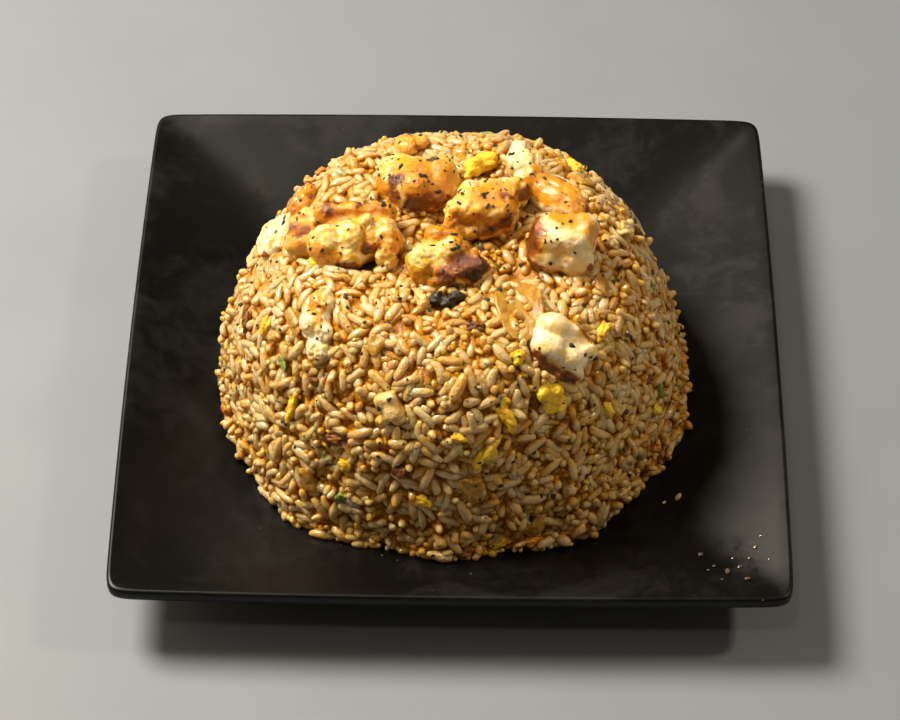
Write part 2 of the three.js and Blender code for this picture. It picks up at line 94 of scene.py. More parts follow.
class Finish:
    def __init__(self, name):
        self.material = bpy.data.materials.new(name)
        self.material.use_nodes = True
        self.tree = self.material.node_tree
        self.tree.nodes.clear()
        self.place = self.node("ShaderNodeTexCoord", output="Object")

    def node(self, kind, values=None, output=0, **settings):
        made = self.tree.nodes.new(kind)
        for key, setting in settings.items():
            setattr(made, key, setting)
        for key, item in (values or {}).items():
            feed(self.tree, made.inputs[key], item)
        return Signal(self.tree, made.outputs[output]) if len(made.outputs) else None

    def noise(self, size, detail=3.0, roughness=0.55, place=None, distortion=0.0):
        # size is the width of one patch in millimetres
        values = {"Scale": 1000.0 / size, "Detail": detail, "Roughness": roughness,
                  "Distortion": distortion, "Vector": place or self.place}
        return self.node("ShaderNodeTexNoise", values)

    def spots(self, size):
        return self.node("ShaderNodeTexVoronoi", {"Scale": 1000.0 / size, "Vector": self.place})

    def stretched(self, scale, turn):
        # the place, drawn out where the scale is small
        return self.node("ShaderNodeMapping", {"Vector": self.place, "Rotation": (0, 0, turn), "Scale": scale})

    def blend(self, share, first, second):
        return self.node("ShaderNodeMix", {0: share, 6: first, 7: second}, 2, data_type="RGBA")

    def band(self, signal, low, high, start=0.0, end=1.0):
        values = {"Value": signal, "From Min": low, "From Max": high, "To Min": start, "To Max": end}
        return self.node("ShaderNodeMapRange", values, interpolation_type="SMOOTHSTEP")

    def painted(self, name):
        # three numbers that the mesh carries at every vertex
        colour = self.node("ShaderNodeAttribute", output="Color", attribute_name=name)
        return [self.node("ShaderNodeSeparateColor", {"Color": colour}, part) for part in range(3)]

    def bump(self, height, depth, strength=1.0):
        return self.node("ShaderNodeBump", {"Height": height, "Distance": depth * mm, "Strength": strength})

    def surface(self, soft=(), **values):
        # soft: how much light sinks in, and how far its red, green and blue then go in millimetres
        if soft:
            weight, *reach = soft
            values["Subsurface_Weight"] = weight
            values["Subsurface_Radius"] = tuple(far * mm for far in reach)
            values["Subsurface_Scale"] = 1.0
        inputs = {key.replace("_", " "): item for key, item in values.items()}
        self.node("ShaderNodeOutputMaterial", {"Surface": self.node("ShaderNodeBsdfPrincipled", inputs)})
        return self.material


# small helpers for meshes

def softNoise(points, size, seed):
    # smooth noise between -1 and 1, one patch is about `size` across, in the units of the points
    table = np.random.default_rng(seed).random((32, 32, 32)) * 2 - 1
    p = np.asarray(points) / size + seed * 3.7
    low = np.floor(p).astype(int)
    f = p - low
    f = f * f * (3 - 2 * f)
    total = np.zeros(len(p))
    for corner in range(8):
        step = np.array([corner & 1, corner >> 1 & 1, corner >> 2 & 1])
        share = np.prod(np.where(step, f, 1 - f), axis=1)
        i, j, k = ((low + step) % 32).T
        total += share * table[i, j, k]
    return total
def layers(points, seed, *sizes):
    # soft noise in layers, each with a size and a strength
    return sum(softNoise(points, size, seed + i) * strength for i, (size, strength) in enumerate(sizes))

def nodules(points, size, seed):
    # rounded knobs about `size` across, from 0 between them to 1 on top
    jitter = np.random.default_rng(seed).random((16, 16, 16, 3))
    p = np.asarray(points) / size + seed * 2.3
    low = np.floor(p).astype(int)
    nearest = np.full(len(p), 9.0)
    for step in np.ndindex(3, 3, 3):
        cell = low + step - 1
        i, j, k = (cell % 16).T
        nearest = np.minimum(nearest, np.linalg.norm(p - cell - 0.15 - 0.7 * jitter[i, j, k], axis=1))
    return np.sqrt(np.clip(1 - (nearest / 0.8) ** 2, 0, 1))


def readPoints(thing, what="co"):
    values = np.empty(len(thing.data.vertices) * 3)
    thing.data.vertices.foreach_get(what, values)
    return values.reshape(-1, 3)


def writePoints(thing, points):
    thing.data.vertices.foreach_set("co", np.ascontiguousarray(points).ravel())
    thing.data.update()


def paint(thing, name, values):
    # one or three numbers for each vertex, in 0 to 1
    colours = np.ones((len(values), 4))
    colours[:, :3] = np.clip(values, 0, 1)
    thing.data.attributes.new(name, "FLOAT_COLOR", "POINT").data.foreach_set("color", colours.ravel())


def only(thing):
    bpy.ops.object.select_all(action="DESELECT")
    thing.select_set(True)
    bpy.context.view_layer.objects.active = thing


def settled(thing):
    # its place, turn and scale go into its points
    only(thing)
    bpy.ops.object.transform_apply(location=True, rotation=True, scale=True)


def modify(thing, kind, **settings):
    only(thing)
    modifier = thing.modifiers.new(kind.title(), kind)
    for key, setting in settings.items():
        setattr(modifier, key, setting)
    bpy.ops.object.modifier_apply(modifier=modifier.name)


def ball(divisions, **where):
    bpy.ops.mesh.primitive_ico_sphere_add(subdivisions=divisions, radius=1, **where)
    return bpy.context.object


def taken(thing):
    # the points and faces, without the object
    points, faces = readPoints(thing), [tuple(face.vertices) for face in thing.data.polygons]
    bpy.data.objects.remove(thing)
    return points, faces


def meshOf(name, points, faces):
    data = bpy.data.meshes.new(name)
    data.from_pydata([tuple(p) for p in points], [], faces)
    data.update()
    thing = bpy.data.objects.new(name, data)
    scene.collection.objects.link(thing)
    return thing


def joined(things, name):
    bpy.ops.object.select_all(action="DESELECT")
    for thing in things:
        thing.select_set(True)
    bpy.context.view_layer.objects.active = things[0]
    if len(things) > 1:
        bpy.ops.object.join()
    things[0].name = name
    things[0].data.name = name
    return things[0]


def finished(thing, material, slot, *nodes):
    # the object at the origin, smooth, on the body, and what it stands for
    settled(thing)
    bpy.ops.object.shade_smooth()
    thing.data.materials.clear()
    thing.data.materials.append(material)
    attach(thing, "root")
    if nodes:
        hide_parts(*nodes)
    return thing


# the plate

plate = {
    "half": 108.0, "sideBow": 1.2, "rimZ": 25.0, "wellZ": 8.5, "wellHalf": 48.6, "slopeHalf": 106.6,
    "slopePower": 1.5, "thickness": 4.4, "lipDepth": 4.8, "footHalf": 57.5, "footWidth": 6.0,
    "roundPower": 4.0, "cornerPower": 45.0,
    "steps": 24,  # spokes in an eighth of a turn
}


def dishRise(u):
    climb = np.maximum(u - plate["wellHalf"], 0) / (plate["slopeHalf"] - plate["wellHalf"])
    return plate["wellZ"] + (plate["rimZ"] - plate["wellZ"]) * climb ** plate["slopePower"]


def squareReach(u, cos, sin):
    # how far out a level line of half width u runs in a direction
    outward = (u / plate["half"]) ** 4
    power = plate["roundPower"] + (plate["cornerPower"] - plate["roundPower"]) * outward
    reach = u / (cos ** power + sin ** power) ** (1 / power)
    slope = np.minimum(cos, sin) / np.maximum(cos, sin)
    return reach * (1 + plate["sideBow"] / plate["half"] * (1 - slope ** 2) * outward)


def dishAt(x, y):
    # height of the plate's upper face under a point, in millimetres
    far = np.maximum(np.hypot(x, y), 1e-6)
    cos, sin = np.abs(x) / far, np.abs(y) / far
    u = far * 0.9
    for _ in range(5):
        u = np.clip(u * far / squareReach(u, cos, sin), 1e-3, plate["slopeHalf"])
    return dishRise(u)


def makePlate():
    half, rim, lip = plate["half"], plate["rimZ"], plate["lipDepth"]
    foot, wide, thick, well = plate["footHalf"], plate["footWidth"], plate["thickness"], plate["wellZ"]
    inside = [(u, dishRise(u)) for u in np.linspace(plate["wellHalf"], plate["slopeHalf"], 17)]
    level = [(u, well) for u in (0, 9, 20, 31, 41)]
    turn = [(half - 1.1, rim + 0.06), (half - 0.6, rim - 0.02), (half - 0.2, rim - 0.36), (half, rim - 0.95),
            (half, rim - 2.4), (half - 0.1, rim - lip + 1.1), (half - 0.4, rim - lip + 0.5),
            (half - 1.0, rim - lip + 0.1), (half - 1.8, rim - lip)]
    under = [(u, dishRise(u) - thick) for u in np.linspace(100, foot + 3.2, 9)]
    ring = [(foot + 1.4, 3.2), (foot + 0.4, 1.4), (foot - 0.2, 0.5), (foot - 1.0, 0.0), (foot - wide + 1, 0.0),
            (foot - wide + 0.2, 0.6), (foot - wide - 0.5, 2.2), (foot - wide - 1.6, well - thick)]
    base = [(u, well - thick) for u in (36, 18, 0)]
    profile = level + inside + turn + under + ring + base
    # the profile is spun about Z, and its level lines are then drawn out into squares
    bpy.ops.mesh.primitive_circle_add(vertices=len(profile), radius=0.1)
    thing = bpy.context.object
    writePoints(thing, np.array([(u * mm, 0, z * mm) for u, z in profile]))
    spokes = plate["steps"] * 8
    bpy.ops.object.mode_set(mode="EDIT")
    bpy.ops.mesh.select_all(action="SELECT")
    bpy.ops.mesh.spin(steps=spokes, angle=math.tau, center=(0, 0, 0), axis=(0, 0, 1))
    bpy.ops.mesh.select_all(action="SELECT")
    bpy.ops.mesh.remove_doubles(threshold=1e-6)
    bpy.ops.mesh.delete_loose(use_faces=False)
    bpy.ops.mesh.select_all(action="SELECT")
    bpy.ops.mesh.normals_make_consistent(inside=False)
    bpy.ops.object.mode_set(mode="OBJECT")
    p = readPoints(thing) / mm
    u = np.hypot(p[:, 0], p[:, 1])
    turned = np.arctan2(p[:, 1], p[:, 0]) % math.tau
    step = np.rint(turned / math.tau * spokes) % spokes
    eighth = step // plate["steps"]
    share = (step % plate["steps"]) / plate["steps"]
    flipped = eighth % 2 == 1
    toCorner = np.where(flipped, 1 - share, share)
    lean = np.arctan(1 - (1 - toCorner) ** 2.2)  # closer together towards the corners
    angle = np.where(flipped, np.pi / 2 - lean, lean) + eighth // 2 * (np.pi / 2)
    cos, sin = np.abs(np.cos(angle)), np.abs(np.sin(angle))
    reach = np.where(u > 1e-3, squareReach(np.maximum(u, 1e-3), cos, sin), 0)
    writePoints(thing, np.column_stack([np.cos(angle) * reach, np.sin(angle) * reach, p[:, 2]]) * mm)
    thing.name = "square_plate"
    return thing


def plateGlaze():
    f = Finish("satin black glaze")

    def near(x, y, reach, soft):
        ends = {0: f.place, 1: (x * mm, y * mm, 20 * mm)}
        away = f.node("ShaderNodeVectorMath", ends, "Value", operation="DISTANCE")
        return f.band(away, reach * mm, (reach - soft) * mm)

    cloud = f.noise(42, 5, 0.6, distortion=0.6)
    film = f.noise(11, 6, 0.65, distortion=1.2)
    fine = f.noise(1.1, 3)
    greasy = f.band(cloud * 0.65 + film * 0.35, 0.44, 0.66)
    # painted reflection: soft pools of light laid into the glaze at the back right, back left and front left
    paintedReflection = (near(92, 74, 36, 30) + near(-80, 80, 46, 42) * 0.6 + near(-60, -88, 34, 32) * 0.5).clamped()
    scratch = f.noise(0.9, 2, 0.5, f.stretched((1, 0.06, 1), 0.6))
    scratch = f.band(scratch, 0.70, 0.74) * f.band(film, 0.45, 0.6)
    dust = f.band(f.spots(6.5), 0.05, 0.03) * f.band(f.noise(16), 0.5, 0.6)
    puddle = near(90, -90, 17, 12) * f.band(f.noise(7, 3), 0.42, 0.62)
    # the glaze is lighter over the greasy smudges and where the reflection is painted
    greaseAndPaintedSheen = (greasy * 0.6 + paintedReflection * (cloud + 0.2)).clamped()
    dark = f.blend(greaseAndPaintedSheen, (0.0012, 0.0011, 0.0011), (0.0085, 0.0080, 0.0077))
    smear = near(-69, 78, 8, 7) * f.band(f.noise(4, 4), 0.4, 0.62)
    colour = f.blend(smear * 0.7, dark, (0.05, 0.034, 0.026))
    colour = f.blend(dust.clamped() * 0.6, colour, (0.30, 0.28, 0.25))
    rough = (f.band(greasy, 0, 1, 0.34, 0.46) + fine * 0.05 + scratch * 0.1) * (1 - puddle * 0.4)
    relief = f.bump(fine * 0.35 + film * 0.5 - scratch * 0.4, 0.035, 0.5)
    return f.surface(Base_Color=colour, Roughness=rough, Normal=relief, Specular_IOR_Level=0.22)


squarePlate = finished(makePlate(), plateGlaze(), "black_glaze", "plate")
print("plate:", len(squarePlate.data.polygons), "faces")


# the heap's own surface, the same rule as the solid's

heap = {
    "x": 0.3, "y": -8.2, "baseZ": 9.0, "height": 73.0, "footRadius": 76.2, "flatRadius": 40.0,
    "hollow": {"x": 6.0, "y": 8.0, "radius": 40.0, "depth": 4.0},
    "spread": {-13: 2.2, -36: -2.6, -60: 3, -92: 3.6, -105: -1.4, -130: 2.4,
               168: 0.8, 120: 1.6, 84: -1.2, 48: 1.8},
}
heapCentre = np.array([heap["x"], heap["y"], 0.0])
quarter = np.linspace(0, np.pi / 2, 400)
sideAcross = heap["footRadius"] - heap["flatRadius"]
profileR = np.concatenate([[0], heap["flatRadius"] + sideAcross * np.sin(quarter)])
profileZ = np.concatenate([[heap["baseZ"] + heap["height"]], heap["baseZ"] + heap["height"] * np.cos(quarter)])
profileS = np.concatenate([[0], np.cumsum(np.hypot(np.diff(profileR), np.diff(profileZ)))])
sideLength = profileS[-1]


def unit(vectors):
    return vectors / np.maximum(np.linalg.norm(vectors, axis=-1, keepdims=True), 1e-9)


def smoothStep(x, low, high):
    # from 0 at low to 1 at high
    t = np.clip((x - low) / (high - low), 0, 1)
    return t * t * (3 - 2 * t)


def unevenness(around, down):
    share = np.minimum(down / 40, 1)
    wave = np.sin(3 * around + 0.6) * np.sin(down / 21)
    ripple = np.sin(5 * around - 1.2 + down / 17)
    spread = np.zeros_like(around)
    for degrees, reach in heap["spread"].items():
        turn = around - math.radians(degrees)
        away = np.arctan2(np.sin(turn), np.cos(turn))
        spread = spread + reach * np.exp(-((away / math.radians(8)) ** 2))
    return share * (0.9 * wave + 0.7 * ripple) + smoothStep(down, sideLength - 45, sideLength) * spread


def hollowDip(x, y):
    h = heap["hollow"]
    near = np.minimum(np.hypot(x - h["x"], y - h["y"]) / h["radius"], 1)
    return h["depth"] * (0.5 + 0.5 * np.cos(np.pi * near))


def heapSpot(around, down, rise=0.0):
    # points over the heap's middle and their normals: around in radians, down the side in millimetres
    around, down = np.atleast_1d(around).astype(float), np.atleast_1d(down).astype(float)
    s = np.clip(down, 0, sideLength)
    r, z = np.interp(s, profileS, profileR), np.interp(s, profileS, profileZ)
    ahead, behind = np.minimum(s + 0.2, sideLength), np.maximum(s - 0.2, 0)
    dr = np.interp(ahead, profileS, profileR) - np.interp(behind, profileS, profileR)
    dz = np.interp(ahead, profileS, profileZ) - np.interp(behind, profileS, profileZ)
    cos, sin = np.cos(around), np.sin(around)
    normal = unit(np.column_stack([-dz * cos, -dz * sin, dr]))
    point = np.column_stack([r * cos, r * sin, z])
    point[:, 2] -= hollowDip(point[:, 0], point[:, 1])
    point += normal * (unevenness(around, s) + rise)[:, None]
    return point, normal


def heapRise(points):
    # how far points stand out of the heap, and the way out
    x, y, z = points.T
    r = np.maximum(np.hypot(x, y), 1e-6)
    around = np.arctan2(y, x)
    up = z + hollowDip(x, y) - heap["baseZ"]
    dx, dz = np.maximum(r - heap["flatRadius"], 0), np.maximum(up, 0)
    a, b = sideAcross, heap["height"]
    e = np.maximum(np.hypot(dx / a, dz / b), 1e-6)
    gx, gz = dx / a ** 2 / e, dz / b ** 2 / e
    g = np.maximum(np.hypot(gx, gz), 1e-9)
    rise = (e - 1) / g
    down = np.where(dx > 0, np.interp(np.arctan2(dx / a, dz / b), quarter, profileS[1:]), r)
    normal = np.column_stack([gx / g * x / r, gx / g * y / r, gz / g])
    return rise - unevenness(around, down), unit(normal), around, down


def slopeAxes(normal):
    across = unit(np.array([1.0, 0, 0]) - normal * normal[0])
    return across, np.cross(normal, across)


def standingOn(around, down, rise, turn):
    # the matrix of a thing that lies on the heap, in millimetres in the plate's frame
    point, normal = heapSpot(math.radians(around), down, rise)
    across, upSlope = slopeAxes(normal[0])
    matrix = Matrix.Identity(4)
    for row in range(3):
        matrix[row][0], matrix[row][1], matrix[row][2] = across[row], upSlope[row], normal[0][row]
        matrix[row][3] = point[0][row] + heapCentre[row]
    return matrix @ Matrix.Rotation(math.radians(turn), 4, "Z")


def placed(points, matrix):
    axes = np.array(matrix)
    return points @ axes[:3, :3].T + axes[:3, 3]


# the toppings

# spot: around, down, rise and turn, as on the solids. size: across, up the slope and through, in millimetres.
# Places are hundredths of half the size: x across, y up the slope, z outward. A ball or a box is
# (x, y, z, half widths along x, y and z, spin in degrees). A crease runs from one place to another and ends
# with its width and depth in millimetres. Gold, sear and char are patches of paint, (x, y, z, reach, strength).
toppings = {
    "shrimp_front": {
        "spot": (-96, 13, 4.5, -12), "size": (26, 20, 17), "kind": "shrimp", "seed": 11, "rough": 0.9,
        "knobs": 1.0,
        "balls": [(-18, -5, -10, 74, 80, 86, 0), (-52, -28, 5, 42, 60, 80, 0), (-34, 62, 40, 30, 34, 44, 0),
                  (-5, 60, 35, 30, 30, 40, 0), (10, 12, 30, 42, 50, 70, 0), (0, -62, -10, 46, 36, 60, 0),
                  (74, -2, 0, 28, 30, 50, 0), (-10, -10, 60, 30, 40, 36, 0)],
        "boxes": [(44, -30, -2, 46, 40, 66, 34)],
        "creases": [(-25, 35, 90, 20, 90, 40, 1.2, 0.8), (25, 50, 80, 30, -20, 90, 1.0, 0.6),
                    (-75, -20, 80, -10, -75, 60, 1.1, 0.5)],
        "gold": [(-30, 75, 50, 60, 100), (40, 30, 70, 50, 100), (-90, -30, 0, 50, 100), (-30, -90, 0, 70, 90)],
        "sear": [(50, -50, 50, 62, 100), (85, -10, 40, 42, 100), (10, -85, 20, 40, 90)],
        "char": [(70, -62, 25, 34, 90), (92, -20, 30, 20, 80), (35, -85, 0, 24, 80)],
    },
    "shrimp_middle": {
        "spot": (48, 14, 8, 14), "size": (31, 19, 15), "kind": "shrimp", "seed": 12, "rough": 0.8,
        "knobs": 0.8, "lean": 0.5, "soft": 0.5, "boxes": [(2, 5, 0, 82, 80, 74, -8)],
        "balls": [(-66, -35, -10, 36, 50, 60, 0), (-10, 66, 36, 70, 22, 36, -4), (-50, -78, -20, 20, 22, 36, 0),
                  (-22, -86, -25, 17, 18, 32, 0), (-80, -5, 20, 20, 30, 40, 0), (10, -86, -30, 17, 18, 30, 0),
                  (34, -86, -35, 20, 14, 26, 0), (90, 30, 10, 12, 30, 50, 0), (-20, 0, 55, 34, 50, 30, 0)],
        "creases": [(-45, 30, 90, -30, -90, 50, 1.1, 0.5), (20, -80, 20, 80, -62, 20, 1.0, 1.0),
                    (-80, 50, 70, 70, 45, 90, 1.1, 0.35)],
        "gold": [(30, -10, 90, 70, 80), (-50, -70, 40, 50, 100), (80, -30, 60, 50, 100), (30, -90, 0, 50, 100)],
        "sear": [(66, -20, 70, 30, 100), (92, 10, 30, 30, 100), (-10, -100, -20, 30, 80),
                 (45, -100, 0, 40, 100)], "char": [(50, -78, 20, 16, 90)],
    },
    "shrimp_cube": {
        "spot": (-10, 35, 5.2, -8), "size": (21, 18, 19), "kind": "shrimp", "finish": "pale", "seed": 13,
        "rough": 0.6, "knobs": 0.35, "soft": 0.8, "boxes": [(0, 5, 0, 84, 82, 86, 0)],
        "balls": [(36, -50, -30, 56, 50, 66, 0), (-30, -50, -30, 56, 46, 64, 0), (50, 30, 45, 42, 46, 46, 0)],
        "creases": [(10, -90, -30, 20, -90, -80, 1.0, 0.5), (50, -90, 90, 62, -90, -40, 1.1, 0.5),
                    (-62, -90, 60, -50, -90, -80, 1.2, 0.4)],
        "gold": [(0, 50, 95, 70, 90), (90, 10, 60, 50, 90), (-85, -30, 30, 70, 100), (40, -100, -70, 40, 60),
                 (0, -90, 40, 40, 40)],
        "sear": [(-100, -10, 20, 80, 100), (-90, -80, -50, 50, 100), (95, -90, -30, 22, 70),
                 (-20, 100, 80, 40, 60)], "char": [(-100, -40, -50, 30, 70)],
    },
    "shrimp_left": {
        "spot": (-174, 32, 4, 2), "size": (31, 24, 17), "kind": "shrimp", "seed": 14, "rough": 0.85,
        "knobs": 0.6,
        "balls": [(0, 0, -10, 80, 60, 78, 0), (-56, -22, 0, 42, 50, 84, 0), (-10, -20, 10, 36, 46, 76, 0),
                  (26, 10, 30, 20, 30, 60, 12), (50, 12, 15, 40, 34, 66, 0), (-15, 62, 20, 70, 28, 56, -3),
                  (50, 62, 30, 36, 28, 50, 0), (64, -16, 10, 28, 30, 60, 0), (70, -42, 0, 22, 24, 50, 0),
                  (60, -66, 0, 18, 20, 44, 0), (76, -74, -10, 14, 18, 34, 0), (86, -6, 0, 14, 30, 44, 0),
                  (68, -90, -10, 10, 10, 26, 0), (-30, -55, -20, 50, 34, 60, 0)],
        "creases": [(20, 35, 90, 24, -80, 40, 1.1, 1.5), (46, -2, 90, 40, -80, 30, 0.9, 1.0),
                    (-75, 40, 70, 75, 40, 80, 1.1, 1.1), (-30, 20, 90, -36, -50, 80, 1.1, 0.5)],
        "gold": [(-80, -80, 10, 50, 100), (80, -40, 30, 40, 90), (40, 75, 60, 60, 100), (-50, 75, 60, 60, 100),
                 (20, -30, 50, 22, 80)],
        "sear": [(-45, 85, 55, 36, 100), (-5, 90, 50, 36, 100), (50, 100, 30, 30, 80), (-10, -100, -20, 30, 80),
                 (20, -50, 20, 20, 80)], "char": [(-10, 95, 40, 18, 80)],
    },
    "shrimp_back_left": {
        "spot": (120, 25, 4.5, -6), "size": (27, 20, 17), "kind": "shrimp", "seed": 15, "rough": 0.6,
        "knobs": 0.45,
        "balls": [(0, 0, -2, 94, 84, 90, 0), (50, 20, 15, 46, 66, 76, 0), (-45, 20, 30, 50, 56, 56, 0),
                  (-72, 30, 25, 24, 30, 30, 0), (0, -30, 30, 50, 50, 60, 0)],
        "creases": [(30, 90, 60, 40, -20, 90, 1.4, 0.6), (-60, 70, 70, -40, -10, 90, 1.0, 0.4)],
        "gold": [(30, -20, 80, 80, 90), (30, -70, 50, 60, 100), (-80, -40, 20, 40, 100)],
        "sear": [(-42, -50, 70, 20, 100), (20, -100, 10, 50, 90), (75, -75, 10, 30, 80),
                 (-50, -90, 20, 30, 80)], "char": [(10, -110, -20, 30, 70), (-46, -48, 74, 9, 70)],
    },
    "shrimp_back_right": {
        "spot": (37, 36, 3.5, -38), "size": (34, 15, 14), "kind": "shrimp", "finish": "pale", "seed": 16,
        "rough": 0.7, "knobs": 0.3,
        "balls": [(16, -5, -8, 82, 78, 78, 0), (-40, 15, 30, 26, 60, 58, 14), (72, -10, -10, 30, 56, 60, 0),
                  (-20, -10, 20, 34, 66, 64, 0)],
        "boxes": [(-72, 32, 45, 12, 56, 44, 26), (-54, 10, 42, 12, 50, 44, 14)],
        "creases": [(-10, 30, 80, 80, 35, 50, 0.9, 0.9), (-20, -15, 80, 90, -10, 50, 0.9, 0.8),
                    (-62, 80, 80, -60, -40, 90, 0.9, 1.1), (-40, 80, 80, -30, -60, 90, 0.9, 1.0)],
        "gold": [(10, 20, 80, 50, 100), (60, 0, 40, 70, 100), (10, -60, 50, 55, 100)],
        "sear": [(30, 80, 40, 36, 100), (70, 60, 30, 30, 100), (98, 0, 10, 26, 100), (-60, 100, 90, 24, 100)],
        "char": [(-56, 105, 90, 16, 90), (98, 30, 20, 16, 80)],
    },
    "shrimp_white": {
        "spot": (-51, 55, 1, -14), "size": (23, 20, 12), "kind": "shrimp", "finish": "pale", "seed": 17,
        "rough": 0.35, "knobs": 0.1,
        "balls": [(0, 2, -8, 88, 86, 84, 0), (-26, 46, 12, 56, 44, 82, -8), (10, 50, 10, 34, 34, 72, 0),
                  (-30, -20, 15, 56, 50, 84, -6), (26, -30, 20, 50, 42, 76, 0), (60, 6, 15, 36, 36, 78, 0),
                  (45, -62, 5, 36, 26, 66, -20), (-20, -82, -25, 72, 18, 50, -10)],
        "creases": [(85, 50, 60, 25, 26, 95, 0.8, 1.3), (20, 26, 95, -10, 0, 90, 1.0, 0.5),
                    (-50, -60, 70, 50, -85, 40, 0.8, 1.0)],
        "gold": [(-30, -85, 20, 50, 90), (40, -90, 30, 30, 70), (50, 75, 40, 40, 100)],
        "sear": [(20, 95, 30, 36, 100), (65, 75, 30, 34, 100), (-70, -80, 20, 42, 100), (-20, -95, 30, 38, 100),
                 (30, -100, 20, 32, 90)], "char": [(-80, -100, -20, 26, 70)],
    },
    "shrimp_tail": {
        "spot": (158, 53, 1.6, 58), "size": (14, 9, 8), "kind": "shrimp", "seed": 21, "rough": 0.7,
        "knobs": 0.3, "voxel": 0.35,
        "balls": [(-30, 0, 0, 68, 90, 90, 0), (45, 10, 10, 45, 50, 60, 0), (82, 25, 30, 20, 20, 25, 0)],
        "creases": [(-80, 30, 70, 70, 20, 70, 0.8, 0.6), (-50, -90, 50, -40, 90, 50, 0.8, 0.5)],
        "gold": [(0, 0, 30, 160, 100)], "sear": [(80, 20, 30, 55, 100), (20, -80, 20, 40, 80)],
    },
    "chicken_left_flat": {
        "spot": (168, 63, 1.4, -24), "size": (13, 18, 7), "kind": "chicken", "seed": 22, "finish": "pale",
        "rough": 0.8, "knobs": 0.3, "voxel": 0.4, "soft": 0.6, "boxes": [(5, 0, -10, 78, 76, 50, 0)],
        "balls": [(-72, 10, 25, 24, 85, 70, 6), (-30, 75, 10, 60, 22, 50, 0)],
        "creases": [(-50, 60, 60, -45, -80, 60, 1.0, 0.8)],
        "gold": [(50, -70, 30, 40, 60), (-50, -90, 0, 30, 70)], "sear": [(-20, -100, 0, 30, 70)],
    },
    "chicken_left_golden": {
        "spot": (177, 48, 2, -6), "size": (10, 17, 11), "kind": "chicken", "seed": 23, "rough": 0.8,
        "knobs": 0.3, "voxel": 0.4, "soft": 0.6, "boxes": [(0, 0, 0, 74, 80, 78, 0)],
        "balls": [(10, 60, 40, 60, 40, 55, 0)], "creases": [(-60, 40, 80, 60, 30, 80, 0.9, 0.6)],
        "gold": [(0, -40, 30, 110, 100), (-50, 20, 50, 60, 80)],
        "sear": [(30, -50, 60, 50, 100), (-60, 10, 30, 50, 90)],
    },
    "chicken_front_left": {
        "spot": (-142, 55, 0.8, -8), "size": (12, 25, 10), "kind": "chicken", "seed": 24, "rough": 1.1,
        "knobs": 1.2, "finish": "pale", "voxel": 0.36,
        "balls": [(-5, 55, 0, 70, 42, 85, 0), (-15, 10, 10, 80, 50, 90, 0), (15, -60, -10, 60, 42, 75, 0),
                  (-50, 30, 20, 45, 24, 50, 0), (45, -20, 20, 45, 30, 60, 0), (20, 85, 10, 30, 20, 50, 0)],
        "creases": [(-90, -30, 50, 80, -35, 60, 1.0, 0.7), (-70, 30, 70, 70, 35, 70, 0.9, 0.4)],
        "gold": [(10, 60, 80, 60, 90), (30, 10, 80, 40, 50), (0, -100, 0, 30, 60)],
        "sear": [(-20, 100, 20, 24, 50)],
    },
    "chicken_front_small": {
        "spot": (-109, 68, 0.6, 6), "size": (10.5, 11.5, 8), "kind": "chicken", "seed": 25, "rough": 0.5,
        "knobs": 0.2, "voxel": 0.3, "soft": 0.5, "boxes": [(12, 12, 0, 62, 70, 72, 14)],
        "balls": [(-42, -62, -10, 50, 30, 50, 0), (50, -50, -10, 40, 30, 50, 0)],
        "creases": [(0, 80, 80, 10, -70, 80, 0.9, 0.5)], "gold": [(70, 30, 50, 50, 50), (-50, -80, 0, 50, 60)],
    },
    "golden_bit_back": {
        "spot": (109, 46, 1.4, 12), "size": (11.9, 9, 6.5), "kind": "chicken", "finish": "shrimp", "seed": 26,
        "rough": 0.7, "knobs": 0.5, "voxel": 0.3,
        "balls": [(-30, 5, 0, 66, 80, 80, -16), (40, 10, 0, 58, 50, 55, 0), (75, 30, 10, 25, 30, 30, 0)],
        "creases": [(-60, 20, 60, 50, -10, 80, 0.8, 0.4)], "gold": [(0, 0, 50, 160, 50)],
        "sear": [(20, -90, 20, 40, 70), (-90, 50, 20, 24, 70)],
    },
    "onion_petal": {"spot": (-56, 37, 1.2, 8), "size": (15, 26, 2.6), "kind": "onion", "seed": 27,
        "rough": 0.5, "voxel": 0.4},
    "egg_front_right": {"spot": (-60, 67, 0.9, 4), "size": (10.5, 12, 4.5), "kind": "egg", "seed": 31,
        "curds": 15},
    "egg_strip_upper": {"spot": (-75, 68, 0.7, 14), "size": (5.5, 14, 4), "kind": "egg", "seed": 32,
        "curds": 11},
    "egg_strip_lower": {"spot": (-80, 80, 0.7, -42), "size": (5.5, 15, 4), "kind": "egg", "seed": 33,
        "curds": 11},
    "egg_left": {"spot": (-138, 84, 0.8, -22), "size": (6, 13, 4), "kind": "egg", "seed": 34, "curds": 10},
    "egg_back": {"spot": (77, 34, 2, 10), "size": (12, 9, 7), "kind": "egg", "seed": 35, "curds": 16},
    "burnt_bit": {"spot": (-95, 27, 0.4, -6), "size": (12, 6, 5), "kind": "burnt", "seed": 36, "curds": 12},
}

